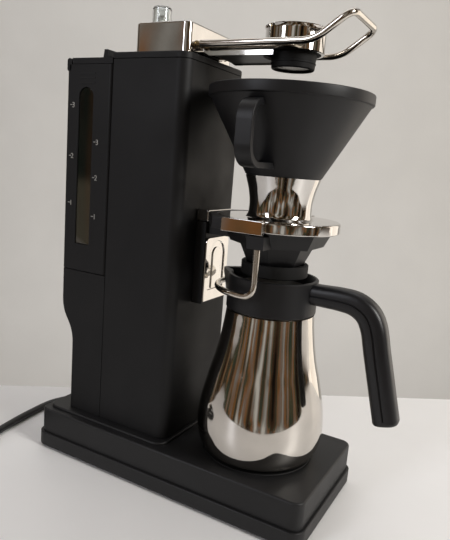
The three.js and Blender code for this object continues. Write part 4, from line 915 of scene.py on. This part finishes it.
# %% [markdown]
# The marks are figures with short lines on both sides of the window. They could be an image on the
# wall, but as thin raised shapes they stay sharp at any distance. Three bars stand above them.

# %% Gauge marks
marks = []
for number, left_z, right_z in (("3", 294.5, 266.4), ("2", 254.5, 238.6), ("1", 216.5, 207.5)):
    marks.append(figure(number, 106.5, left_z, 4.2))
    marks.append(figure(number, 80.6, right_z, 4.2))
    marks.append(block((TANK.x0 - 0.3, TANK.x0 + 0.2), (107.6, 109.8), (left_z - 0.3, left_z + 0.3)))
    marks.append(block((TANK.x0 - 0.3, TANK.x0 + 0.2), (82, 84.2), (right_z - 0.3, right_z + 0.3)))
piece(merged(*marks), "tank_gauge_marks", "tank", "housing_black", PRINT)
bars = [block((TANK.x0 - 0.3, TANK.x0 + 0.2), (84.5, 100), (z - 0.4, z + 0.4)) for z in (318.5, 315, 311.5)]
piece(merged(*bars), "tank_raised_bars", "tank", "housing_black", SMOOTH_ABS)
print("raised bars", len(bars))

# %% [markdown]
# The lid is the CAD shape with eased edges. Its pin is drawn steel rod.

# %% Lid and pin
lid = ease(from_cad("tank_lid"), 0.45, angle=50)
piece(lid, "tank_flap_lid", "lid", "housing_black", TEXTURED_ABS, "tank_lid")
pin = Box("lid_pin")
pin_y, pin_z = (pin.y0 + pin.y1) / 2, (pin.z0 + pin.z1) / 2
hinge_rod = rod([(pin.x0, pin_y, pin_z), (pin.x1, pin_y, pin_z)], (pin.z1 - pin.z0) / 2)
piece(hinge_rod, "lid_hinge_pin", "tank", "brushed_steel", ROD_STEEL, "lid_pin")
print("tank done, pieces", len(MADE))

# %% [markdown]
# ## The head box, steam cap and arm
# Hot water rises into a chrome box on top of the tower. A clear cap over a white core shows when
# it boils. The arm turns on a pin at the box's front and carries the shower head.

# %% Head box
head = block((HEAD.x0, HEAD.x1), (7.8, HEAD.y1), (HEAD.z0, HEAD.z1), corner=5, high=1.6, low=0.3)
THIN = 1.6
head_room = block(
    (HEAD.x0 + THIN, HEAD.x1 - THIN), (9.4, HEAD.y1 - THIN), (HEAD.z0 - 1, HEAD.z1 - THIN), corner=3.4
)
mouth = block((-12, 12), (6, 12), (337, 347))
cap_hole = spun([(0, 350), (7.9, 350), (7.9, 360), (0, 360)], -13, 47, 48)
head = carve(head, head_room, mouth, cap_hole)
HINGE_Y, HINGE_Z = 4.0, 341.5
cheeks = []
for side in (-1, 1):
    reach = sorted((side * 15.7, side * 18.5))
    lobe = [(8.4, HINGE_Z - 3.3), (8.4, HINGE_Z + 3.3), *arc(HINGE_Y, HINGE_Z, 3.3, 90, 270, 14)]
    cheeks.append(ease(outline_prism(lobe, "X", *reach), 0.3, angle=50))
piece(merged(head, *cheeks), "chrome_head_box", "root", "chrome", CHROME, "head_box")

print("head box", round(HEAD.x1 - HEAD.x0, 1), "mm wide")

# %% [markdown]
# The steam cap is a thin clear bell. Light only bends rightly through it when its wall has both an
# outer and an inner side, so the profile goes up the outside and comes back down the inside.

# %% Steam cap and core
ROUND = 1.8
cap_profile = [(6.2, CAP.z0), (7.6, CAP.z0), (7.6, 357.6), (7.4, 358.4)]
cap_profile += arc(7.4 - ROUND, CAP.z1 - ROUND, ROUND, 0, 90, 6)
cap_profile += [(0, CAP.z1), (0, CAP.z1 - 1.6), (5.2, CAP.z1 - 1.6)]
cap_profile += [(5.8, CAP.z1 - 2.2), (5.9, 358.4), (6.2, 357.6)]
piece(spun(cap_profile, -13, 47, 64), "clear_steam_cap", "root", "clear_plastic", CLEAR, "steam_cap")
core = [(0, CORE.z0), (3.4, CORE.z0), (3.4, 356.5), (4.4, 357.2), (4.4, 359.6), (3.7, 360.2), (3.3, 361.2)]
core += [(3.3, 363.6), (2.9, 365.2), (1.8, 366.0), (0, CORE.z1)]
piece(spun(core, -13, 47, 48), "white_steam_core", "root", "white_plastic", WHITE_SILICONE, "steam_core")
print("cap height", round(CAP.z1 - CAP.z0, 1), "mm")

# %% [markdown]
# ## The arm
# The arm is a bent chrome channel with a black tray inside. Its hinge pin ends in two small brass
# balls, and a bent rod on both sides meets in front as a loop to lift it by.

# %% Arm
channel, tray = ease(from_cad("arm_channel"), 0.4, angle=40), ease(from_cad("arm_tray"), 0.3, angle=40)
piece(channel, "arm_bent_channel", "arm", "chrome", CHROME, "arm_channel")
piece(tray, "arm_water_tray", "arm", "moulded_black", DARK_PLASTIC, "arm_tray")
PIN = Box("arm_pin")
pin_rod = rod([(PIN.x0 + 2.4, HINGE_Y, HINGE_Z), (PIN.x1 - 2.4, HINGE_Y, HINGE_Z)], 1.6)
balls = []
for x in (PIN.x0 + 2.9, PIN.x1 - 2.9):
    ball = bmesh.new()
    bmesh.ops.create_uvsphere(ball, u_segments=32, v_segments=20, radius=2.3)
    bmesh.ops.translate(ball, verts=ball.verts[:], vec=(x, HINGE_Y, HINGE_Z))
    balls.append(ball)
piece(merged(pin_rod, *balls), "arm_brass_pin", "arm", "brass", BRASS, "arm_pin")

side = 27.5
loop = [
    (-side, 0.6, 341.5),
    (-side, -86, 341.5),
    (-side, -110, 359),
    (side, -110, 359),
    (side, -86, 341.5),
    (side, 0.6, 341.5),
]
loop = rod(bent_line(loop, 9, 12), 2.4, 28)
piece(loop, "arm_lifting_loop", "arm", "polished_steel", ROD_STEEL, "lifting_loop")
print("loop", 2 * side, "mm wide")

# %% [markdown]
# The shower head hangs in the arm: a chrome ring with a flared lip, a black cover with a groove, and
# a rubber nozzle below. All three are spun round the shower's own line.

# %% Shower head
ring_profile = [(19.3, 338.2), (21.0, 338.2), (21.5, 338.7), (21.5, 352.4), (21.75, 353.6)]
ring_profile += [(22.25, 354.5), (22.4, 354.95), (22.2, 355.3), (21.8, 355.4), (21.2, 355.1)]
ring_profile += [(20.6, 354.0), (19.9, 353.2), (19.3, 352.9)]
piece(spun(ring_profile, 0, SHOWER_Y, 128), "shower_flared_ring", "arm", "chrome", CHROME, "shower_ring")
cover_profile = [(0, 350.2), (19, 350.2), (19, 351.6), (18.6, 352), (14.5, 352), (14.1, 351.5), (13.3, 351.5)]
cover_profile += [(12.9, 352), (4.2, 352), (3.8, 351.4), (0, 351.4)]
top_cover = spun(cover_profile, 0, SHOWER_Y, 96)
piece(top_cover, "shower_top_cover", "arm", "moulded_black", SATIN_PP, "shower_cover")
nozzle = [(13.6, 327.4), (14.9, 327.4), (15.5, 328.0), (15.75, 331.2), (16.15, 331.5), (16.15, 332.3)]
nozzle += [(15.8, 332.6), (16.3, 337.9), (19, 337.9), (19, 341.2), (13.6, 341.2)]
piece(spun(nozzle, 0, SHOWER_Y, 96), "shower_rubber_nozzle", "arm", "rubber_black", RUBBER, "shower_nozzle")
print("arm done, pieces", len(MADE))

# %% [markdown]
# ## The bracket, drip holder and lever
# A black bracket on the tower carries a chrome cap and face plate, a fork that keeps the dripper
# in place, and an eight-sided holder whose valve opens when the server pushes the wire lever back.

# %% Bracket and fork
for node, name, body, slot, material, width in (
    ("bracket_body", "bracket_block", "root", "moulded_black", TEXTURED_ABS, 0.8),
    ("bracket_cap", "bracket_chrome_cap", "root", "chrome", CHROME, 0.9),
    ("fork_carrier", "fork_black_carrier", "root", "moulded_black", SATIN_PP, 0.5),
    ("fork_prong_left", "fork_left_prong", "root", "chrome", CHROME, 0.6),
    ("fork_prong_right", "fork_right_prong", "root", "chrome", CHROME, 0.6),
    ("drip_holder", "eight_sided_holder", "root", "moulded_black", SATIN_PP, 0.45),
):
    piece(ease(from_cad(node), width, steps=3, angle=28), name, body, slot, material, node, smooth=35)

print("eased from the frame, pieces", len(MADE))

# %% [markdown]
# The face plate is a chrome pressing with an arched opening, and a narrower bar stands in it. Both
# outlines have square feet and a round head, so one function draws them.

# %% Face plate
FACE = Box("bracket_face")


def tombstone(half, z0, z1, y0, y1):
    """A plate across Y with square feet and a round head."""
    head = arc(0, z1 - half, half, 0, 180, 20)
    bm = outline_prism([(-half, z0), (half, z0), *head], "Z", 0, y1 - y0)
    stand_up = Matrix(((1, 0, 0, 0), (0, 0, 1, y0), (0, 1, 0, 0), (0, 0, 0, 1)))
    bmesh.ops.transform(bm, matrix=stand_up, verts=bm.verts[:])
    bmesh.ops.recalc_face_normals(bm, faces=bm.faces[:])
    return bm


face = block(
    (FACE.x0, FACE.x1),
    (FACE.y0, FACE.y1),
    (FACE.z0, FACE.z1),
    corner=4,
    along=1,
    pick=lambda v: v.z > 170,
)
face = ease(carve(face, tombstone(12, 158, 197, FACE.y0 - 1, FACE.y1 - 0.35)), 0.4, angle=50)
piece(face, "bracket_face_plate", "root", "chrome", CHROME, "bracket_face")
bar = ease(tombstone(6.2, 158.6, 192, FACE.y0 + 0.1, FACE.y1 + 0.2), 0.45, angle=50)
piece(bar, "bracket_inner_bar", "root", "chrome", CHROME, "bracket_inlay")

print("face plate", round(FACE.z1 - FACE.z0, 1), "mm high")

# %% [markdown]
# The rubber ring under the holder keeps the drips in. Four spokes carry its hub, whose hole guides
# the drip valve's stem.

# %% Drip ring
DRIP = Box("drip_ring")
skirt = [(22.5, DRIP.z0), (24.9, DRIP.z0), (25.5, DRIP.z0 + 0.6)]
skirt += [(25.5, DRIP.z1 - 0.5), (25, DRIP.z1), (22.5, DRIP.z1)]
hub = [(2.9, DRIP.z1 - 4), (5, DRIP.z1 - 4), (5, DRIP.z1), (2.9, DRIP.z1)]
bars = [
    block((-24, 24), (AXIS_Y - 1.2, AXIS_Y + 1.2), (DRIP.z1 - 3, DRIP.z1 - 0.1)),
    block((-1.2, 1.2), (AXIS_Y - 24, AXIS_Y + 24), (DRIP.z1 - 3.1, DRIP.z1 - 0.2)),
]
stem_hole = rod([(0, AXIS_Y, DRIP.z1 - 8), (0, AXIS_Y, DRIP.z1 + 2)], 2.9, 32)
spider = carve(bars[0], bars[1], operation="UNION")
spider = carve(spider, stem_hole)
drip = merged(spun(skirt, 0, AXIS_Y, 96), spun(hub, 0, AXIS_Y, 48), spider)
piece(drip, "drip_guard_ring", "root", "rubber_black", RUBBER, "drip_ring")

print("drip ring", round(DRIP.z1 - DRIP.z0, 1), "mm high")

# %% [markdown]
# The lever is one bent wire: two legs and a bow that the server's collar pushes back. Its middle
# line is worked out for one leg, mirrored for the other, and swept with a round section.

# %% Wire lever
WIRE = Box("lever_wire")
LEG_Y, WIRE_LOW, WIRE_TOP = WIRE.y0 + 2.6, WIRE.z0 + 2.4, WIRE.z1
leg = [(42, LEG_Y, WIRE_TOP), (42, LEG_Y, 187), (42, LEG_Y, WIRE_LOW + 8), (42, LEG_Y + 2.4, WIRE_LOW + 2.4)]
turns = [math.pi * i / 12 for i in range(13)]
bow = [(42 * math.cos(a), LEG_Y + 8 + 38 * math.sin(a), WIRE_LOW) for a in turns]
wire = [*leg, *bow, *[(-x, y, z) for x, y, z in reversed(leg)]]
wire = rod(curve_through(wire, 6), 2.3, 28)
piece(wire, "lever_bent_wire", "lever", "polished_steel", ROD_STEEL, "lever_wire")
print("bracket done, pieces", len(MADE))

# %% [markdown]
# ## The dripper
# The cone is a ribbed black moulding with a stepped rim band and a strap handle. It screws into a
# waisted chrome stem on a thick chrome disc.

# %% Chrome disc
RIM, EDGE_ROUND = 45.8, 1.5
disc_profile = [(6.3, DISC.z0), (44.8, DISC.z0), (45.4, DISC.z0 + 0.3), (RIM, DISC.z0 + 1.0)]
disc_profile += arc(RIM - EDGE_ROUND, DISC.z1 - EDGE_ROUND, EDGE_ROUND, 0, 90, 9)
disc_profile += [(38, DISC.z1), (30, DISC.z1), (6.3, DISC.z1)]
disc = spun(disc_profile, 0, AXIS_Y, 160)
piece(disc, "dripper_chrome_disc", "dripper", "chrome", CHROME, "dripper_disc")
print("disc", 2 * RIM, "mm across")

# %% [markdown]
# The stem is pressed from sheet, narrow low down and flared towards the cone. Its heights are given
# as shares of the whole, and its inner side is the same line, one wall further in.

# %% Waisted stem
rise = WAIST.z1 - WAIST.z0
stem = [(26.0, 0), (24.6, 0.035), (23.75, 0.11), (23.5, 0.2), (23.5, 0.33)]
stem += [(23.9, 0.47), (25.0, 0.66), (26.6, 0.84), (28.1, 1.0)]
stem = [(v.x, WAIST.z0 + v.y * rise) for v in curve_through(stem, 4)]
inner = [(r - 1.2, z) for r, z in reversed(stem)]
stem = spun([*stem, *inner], 0, AXIS_Y, 128)
piece(stem, "dripper_waisted_stem", "dripper", "chrome", CHROME, "dripper_waist")
print("stem", round(rise, 1), "mm high")

# %% [markdown]
# The cone is moulded with a stepped rim band. The ribs inside keep the filter paper off the wall,
# so that air can rise beside it. They are thin blocks leaned along the wall, set round by a loop.

# %% Cone and ribs
CONE_FOOT, BAND_Z = 252, 304.9
slope = (58 - 28.3) / (BAND_Z - CONE_FOOT)
outside = [(27.7, CONE_FOOT), (28.3, CONE_FOOT + 0.4), (57.8, BAND_Z - 0.3), (58.3, BAND_Z)]
outside += [(59.1, BAND_Z + 0.2), (59.6, BAND_Z + 0.8)]
outside += [(59.6, CONE.z1 - 0.9), (59.3, CONE.z1 - 0.3), (58.7, CONE.z1)]
inside = [(57.6, CONE.z1), (57.0, CONE.z1 - 0.5), (55.6, BAND_Z - 1), (25.7, CONE_FOOT)]
inside += [(9.5, 226.5), (3.6, 224.5), (3.6, 215.6)]
under = [(5.9, 215.6), (5.9, 223.4), (11.3, 225.3), (24.0, 247.5), (26.4, 251.2)]
cone = spun([*outside, *inside, *under], 0, AXIS_Y, 160)
RIBS, RIB_LOW, RIB_HIGH = 24, 236, 300
wall_low = 9.5 + (25.7 - 9.5) * (RIB_LOW - 226.5) / (CONE_FOOT - 226.5)
wall_high = 25.7 + slope * (RIB_HIGH - CONE_FOOT)
ribs = []
for i in range(RIBS):
    angle = 2 * math.pi * (i + 0.5) / RIBS
    rib = block((0, 1), (-0.6, 0.6), (0, 1))
    for v in rib.verts:
        wall, z = (wall_high, RIB_HIGH) if v.co.z > 0.5 else (wall_low, RIB_LOW)
        v.co = Vector((wall + (0.5 if v.co.x > 0.5 else -1.0), v.co.y, z))
    bmesh.ops.rotate(rib, verts=rib.verts[:], cent=(0, 0, 0), matrix=Matrix.Rotation(angle, 3, "Z"))
    bmesh.ops.translate(rib, verts=rib.verts[:], vec=(0, AXIS_Y, 0))
    ribs.append(rib)
piece(merged(cone, *ribs), "dripper_black_cone", "dripper", "moulded_black", SATIN_PP, "dripper_cone")
print("ribs", RIBS)

# %% [markdown]
# The handle is a flat strap that leaves the cone, turns down and comes back. It is a rounded block
# with a smaller one cut out, and the cone's own body cut away where the two meet.

# %% Strap handle
STRAP_THICK = 4.2


def on_the_left(v):
    """True for the strap's outer corners."""
    return v.x < -50


outer = block(
    (STRAP.x0, -24),
    (STRAP.y0, STRAP.y1),
    (STRAP.z0, STRAP.z1),
    corner=15,
    along=1,
    pick=on_the_left,
    steps=12,
)
gap = block(
    (STRAP.x0 + STRAP_THICK, -20),
    (STRAP.y0 - 2, STRAP.y1 + 2),
    (STRAP.z0 + STRAP_THICK, STRAP.z1 - STRAP_THICK),
    corner=11,
    along=1,
    pick=on_the_left,
    steps=10,
)
cone_body = spun([(0, 245), (28.6 - 7 * slope, 245), (28.6 + slope * 60, 312), (0, 312)], 0, AXIS_Y, 96)
strap = ease(carve(outer, gap, cone_body), 0.9, steps=3, angle=50)
piece(strap, "dripper_strap_handle", "dripper", "moulded_black", SATIN_PP, "dripper_handle")
print("dripper done, pieces", len(MADE))

# %% [markdown]
# ## The server
# The server is a double-walled steel flask with still air between its walls. Its outline is one
# smooth curve, because any kink would show at once in the mirror polish. The outer shell is that
# curve with a wall's thickness.

# %% Outer shell
flask = [(43.4, 1.8), (45.6, 4.4), (48.2, 10), (49.7, 17.5), (50.1, 25), (48.8, 39), (45.9, 52.5)]
flask += [(42.8, 65.5), (39.6, 77.5), (37.0, 90.5), (35.2, 103), (34.3, 110.8)]
flask = [(v.x, SHELL.z0 + v.y) for v in curve_through(flask, 5)]
shell_profile = [(0, SHELL.z0 + 1.2), (34, SHELL.z0 + 1.2), (35, SHELL.z0), (38, SHELL.z0)]
shell_profile += [(41.2, SHELL.z0 + 0.5), *flask]
shell_profile += [(34.1, 148.6), (33.9, 150.3), (30.4, 150.3), (30.4, 146.6), (32.6, 146.4)]
shell_profile += [(r - 1.2, z) for r, z in reversed(flask)]
shell_profile += [(41, SHELL.z0 + 2.4), (0, SHELL.z0 + 2.4)]
shell = spun(shell_profile, 0, AXIS_Y, 160)
piece(shell, "server_outer_shell", "server", "polished_steel", STEEL, "server_shell")
print("flask", round(2 * max(r for r, z in flask), 1), "mm across")

# %% [markdown]
# The liner follows the shell a few millimetres further in, so both come from the same curve.

# %% Inner liner
liner = [(r - 3.4, max(z, 39.0)) for r, z in flask if z > 41]
liner = [(0, 39.0), (38, 39.0), (41, 39.8), *liner, (28.8, 146.4), (28.8, 169.2)]
liner += [(27.8, 169.2), (27.8, 145.2)]
liner += [(r - 4.4, max(z, 40.2)) for r, z in reversed(flask) if z > 43] + [(37, 40.2), (0, 40.2)]
piece(spun(liner, 0, AXIS_Y, 128), "server_inner_liner", "server", "brushed_steel", BRUSHED, "server_liner")

print("liner points", len(liner))

# %% [markdown]
# The collar is a ring with a pointed spout joined on, then bored out. The spout is a wedge whose
# underside slopes away, and its channel is a narrower wedge with a sloping floor.

# %% Collar and spout
top, low = COLLAR.z1, COLLAR.z0 + 3.6
tip_y = COLLAR.y1 - AXIS_Y
ring = [(0, low), (34.2, low), (34.6, low + 0.4), (34.6, top - 0.7), (33.9, top), (0, top)]
ring = spun(ring, 0, AXIS_Y, 128)
wedge = [(-17, 30), (17, 30), (1.6, tip_y - 1.2), (-1.6, tip_y - 1.2)]
spout = outline_prism(wedge, "Z", top - 14.5, top)
bmesh.ops.translate(spout, verts=spout.verts[:], vec=(0, AXIS_Y, 0))
beneath = [(AXIS_Y + 30, top - 18), (COLLAR.y1 + 3, top - 18), (COLLAR.y1 + 3, top - 1.4)]
beneath += [(COLLAR.y1, top - 2.2), (AXIS_Y + 33, top - 14.3)]
spout = carve(spout, outline_prism(beneath, "X", -30, 30))
bore = [(0, low - 1), (34.05, low - 1), (33.9, low + 0.3), (29.3, low + 0.4)]
bore += [(29.3, top - 6.5), (32.2, top + 0.2), (32.2, top + 1), (0, top + 1)]
bore = spun(bore, 0, AXIS_Y, 128)
channel = outline_prism([(-13, 24), (13, 24), (0, tip_y - 4)], "Z", top - 9, top + 2)
bmesh.ops.translate(channel, verts=channel.verts[:], vec=(0, AXIS_Y, 0))
floor = [(AXIS_Y + 20, top - 12), (COLLAR.y1, top - 12), (COLLAR.y1, top - 1.2)]
floor += [(AXIS_Y + 27, top - 8.5), (AXIS_Y + 20, top - 8.5)]
channel = carve(channel, outline_prism(floor, "X", -30, 30))
collar = carve(carve(ring, spout, operation="UNION"), bore, channel)
collar = ease(collar, 0.5, steps=3, angle=50)
piece(collar, "server_spouted_collar", "server", "moulded_black", SATIN_PP, "server_collar")
print("spout reaches", round(tip_y, 1), "mm from the middle")


# %% [markdown]
# ## The handle
# The handle is one long moulded grip: it leaves the collar level, turns down at the elbow and leans
# out. A block can't be bent so softly, so rounded cross-sections are set along its middle line and
# bridged. Two fine seams at its sides show where the mould's halves met.

# %% Handle sections
def grip_line():
    """The middle of the handle: level from the collar, round at the elbow, bowed and leaning out below."""
    knots = [(-95.5, 168.6), (-106, 168.6), (-117, 168.6), (-128.2, 167.2), (-137.4, 161.6), (-143, 151.8)]
    knots += [(-147, 136), (-152, 117), (-156.6, 99.5), (-159.5, 88.2)]
    return [(v.x, v.y) for v in curve_through(knots, 5)]


def skin(rings_of_points):
    """A closed skin over rings of points, each ring bridged to the next."""
    bm = bmesh.new()
    loops = []
    for points in rings_of_points:
        ring = [bm.verts.new(p) for p in points]
        loops.append([bm.edges.new(pair) for pair in zip(ring, ring[1:] + ring[:1])])
    for first, second in zip(loops, loops[1:]):
        bmesh.ops.bridge_loops(bm, edges=first + second)
    for ring in (loops[0], loops[-1]):
        bmesh.ops.holes_fill(bm, edges=ring, sides=0)
    bmesh.ops.recalc_face_normals(bm, faces=bm.faces[:])
    return bm


def section(middle, out, half_wide, half_thick, seam=0.93):
    """One rounded cross-section of the handle, with the two narrow seams at its sides."""
    points = []
    for k in range(72):
        a = 2 * math.pi * k / 72
        flat = 1 / (abs(math.cos(a)) ** 3 + abs(math.sin(a)) ** 3) ** (1 / 3)
        wide = half_wide * flat * math.cos(a) * (seam if k in (0, 36) else 1)
        place = middle + out * (half_thick * flat * math.sin(a))
        points.append((wide, place.x, place.y))
    return points


print("points along the handle", len(grip_line()))

# %% [markdown]
# Each section stands square to the line at its place. The handle thickens a little towards its
# lower half, and where it meets the collar it is cut to the collar's round.

# %% Handle and tip
line = [Vector(p) for p in grip_line()]
sections = []
for i, p in enumerate(line):
    along = (line[min(i + 1, len(line) - 1)] - line[max(i - 1, 0)]).normalized()
    out = Vector((along.y, -along.x))
    thick = 7.7 + 1.5 * min(1, 2 * i / (len(line) - 1))
    sections.append(section(p, out, 8.9, thick))
collar_room = spun([(0, 130), (34.9, 130), (34.9, 190), (0, 190)], 0, AXIS_Y, 128)
handle = carve(skin(sections), collar_room)
piece(handle, "server_long_handle", "server", "moulded_black", SOFT_GRIP, "server_handle", smooth=28)
TIP = Box("handle_end_cap")
reach = (line[-1].y - TIP.z0 - 1.2) / -along.y
tip = [(-0.6, 0.985), (0.1, 0.985), (0.25, 1.0), (reach - 2.4, 1.0)]
tip += [(reach - 1.3, 0.975), (reach - 0.5, 0.92), (reach, 0.82)]
tip = [section(line[-1] + along * at, out, 8.9 * share, 9.2 * share, seam=1) for at, share in tip]
piece(skin(tip), "server_handle_tip", "server", "moulded_black", DARK_PLASTIC, "handle_end_cap", smooth=50)
print("handle tip", round(reach, 1), "mm long")
print("server done, pieces", len(MADE))

# %% [markdown]
# ## The parts inside
# What is inside is seen only when a joint moves, so the CAD solids stay, with their own finishes.

# %% Inner parts
INNER = {
    "control_board": BOARD,
    "tower_spine": BRUSHED,
    "boiler": BRUSHED,
    "thermal_cutout": DARK_PLASTIC,
    "riser_tube": COPPER,
    "tank_seat": DARK_PLASTIC,
    "inlet_hose": WHITE_SILICONE,
    "feed_duct": DARK_PLASTIC,
    "shower_plate": BRUSHED,
    "drip_valve": WHITE_SILICONE,
    "tank_valve": WHITE_SILICONE,
}
for node, material in INNER.items():
    mesh = bpy.data.objects[node].data
    mesh.materials.clear()
    mesh.materials.append(material)
print("inner parts", len(INNER))

# %% [markdown]
# ## The studio
# The brewer stands near the far edge of a pale table, with a warm grey wall behind. The table ends
# close to the brewer on the near side, because the round flask would mirror all of it. Both are
# plates with a thickness, so no light leaks through them.

# %% Table and wall
toward = Vector((math.sin(CAMERA_AZIMUTH), math.cos(CAMERA_AZIMUTH), 0))
across = Vector((toward.y, -toward.x, 0))
TABLE = finish("white_laminate_table", "#ebeae9", 0.42, grain_mm=3, relief_mm=0.02, spread=0.015, patch_mm=90)
PLASTER = finish("warm_grey_plaster", "#c8c6c1", 0.9, grain_mm=6, relief_mm=0.15, spread=0.02, patch_mm=120)
EDGE, SLANT, WALL_AWAY, WIDE, NEAR = 0.152, 0.122, 1.3, 3.0, 0.36


def stage_plate(corners, thickness, name, material):
    """A flat plate of the set, drawn round its four corners and given a thickness."""
    bm = bmesh.new()
    face = bm.faces.new([bm.verts.new(p) for p in corners])
    grown = bmesh.ops.extrude_face_region(bm, geom=[face])["geom"]
    bmesh.ops.translate(bm, verts=[g for g in grown if isinstance(g, bmesh.types.BMVert)], vec=thickness)
    bmesh.ops.recalc_face_normals(bm, faces=bm.faces[:])
    obj = as_object(bm, name)
    obj.data.materials.append(material)
    obj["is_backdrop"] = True


ends = ((-NEAR, -WIDE), (EDGE - SLANT * WIDE, -WIDE), (EDGE + SLANT * WIDE, WIDE), (-NEAR, WIDE))
stage_plate([MIDDLE + toward * a + across * b for a, b in ends], Vector((0, 0, -0.03)), "table", TABLE)
foot = [MIDDLE + toward * WALL_AWAY + across * b + Vector((0, 0, -2)) for b in (-WIDE, WIDE)]
rise = Vector((0, 0, 5))
stage_plate([foot[0], foot[1], foot[1] + rise, foot[0] + rise], toward * 0.05, "wall", PLASTER)
print("wall", WALL_AWAY, "m behind the brewer")


# %% [markdown]
# ## The lights
# All lights are soft rectangles, like windows and ceiling lights. The main one is to the right of the
# camera, a wide one stands in front of the brewer, a weaker cool one to the left and a large one
# above. Two long strips light only the wall. Each one is also a bright shape in the chrome, so their
# sizes were chosen for their reflections as much as for their light.

# %% Lights
def soft_light(name, place, aim, size, power, tint):
    """A rectangle of light at a place, turned towards aim. Power is in watts and size in metres."""
    data = bpy.data.lights.new(name, "AREA")
    data.shape = "RECTANGLE"
    data.size, data.size_y = size
    data.energy = power
    data.color = linear(tint)[:3]
    obj = bpy.data.objects.new(name, data)
    obj.location = place
    obj.rotation_euler = (aim - place).to_track_quat("-Z", "Y").to_euler()
    bpy.context.collection.objects.link(obj)


aim = MIDDLE + Vector((0, 0, 0.17))
soft_light("key", aim - toward * 0.7 + across * 1.1 + Vector((0, 0, 0.75)), aim, (0.35, 0.7), 16, "#fffdfa")
soft_light("front", aim + Vector((1.2, -0.85, 0.12)), aim, (0.9, 1.4), 6, "#efe6da")
soft_light("fill", aim - toward * 1.0 - across * 1.2 + Vector((0, 0, 0.7)), aim, (0.3, 1.0), 8, "#f2f5ff")
soft_light("top", aim + toward * 0.5 + Vector((0, 0, 1.7)), aim, (1.6, 1.6), 6.5, "#ffffff")
over_wall = aim + toward * 0.4 - across * 0.4 + Vector((0, 0, 0.9))
soft_light("wall wash", over_wall, over_wall + toward - Vector((0, 0, 0.9)), (2.4, 0.3), 6, "#fbfcff")
under_edge = aim + toward * 0.45 - Vector((0, 0, 0.5))
soft_light("low wall wash", under_edge, under_edge + toward + Vector((0, 0, 0.12)), (2.4, 0.3), 6, "#fbfcff")
print("lights", len(bpy.data.lights))

# %% [markdown]
# ## The room
# Chrome is only as rich as what it mirrors. An image of a room would do, but a plain pattern is
# enough for curved metal: noise, stretched upright like furniture and doorways, through brown, green
# and pale tones. The camera itself sees a plain pale room beyond the set.

# %% Room
world = bpy.data.worlds.new("room")
bpy.context.scene.world = world
world.use_nodes = True
around = add(world, "ShaderNodeTexCoord").outputs["Generated"]
stretched = add(world, "ShaderNodeMapping", {"Scale": (1, 1, 0.22)}, Vector=around).outputs["Vector"]
patches = add(world, "ShaderNodeTexNoise", {"Scale": 5.0, "Detail": 3.0}, Vector=stretched).outputs["Fac"]
furniture = add(world, "ShaderNodeValToRGB", Fac=patches)
tones = (
    (0.36, "#17130f"),
    (0.43, "#4a3626"),
    (0.48, "#38493c"),
    (0.52, "#8a5c34"),
    (0.57, "#7d7a74"),
    (0.66, "#d6d2ca"),
)
stops = furniture.color_ramp.elements
stops[0].position, stops[0].color = tones[0][0], linear(tones[0][1])
stops[-1].position, stops[-1].color = tones[-1][0], linear(tones[-1][1])
for position, tone in tones[1:-1]:
    stops.new(position).color = linear(tone)
direct = add(world, "ShaderNodeLightPath").outputs["Is Camera Ray"]
seen = add(world, "ShaderNodeMix", {"data_type": "RGBA"})
world.node_tree.links.new(direct, seen.inputs[0])
world.node_tree.links.new(furniture.outputs["Color"], seen.inputs[6])
seen.inputs[7].default_value = linear("#c4c1bb")
world.node_tree.links.new(seen.outputs[2], world.node_tree.nodes["Background"].inputs["Color"])
world.node_tree.nodes["Background"].inputs["Strength"].default_value = 0.8
bpy.context.scene.view_settings.view_transform = "Standard"
print("room tones", len(tones))

# %% Finish
low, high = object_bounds()
print("visual box", [round(v, 4) for v in (*low, *high)])
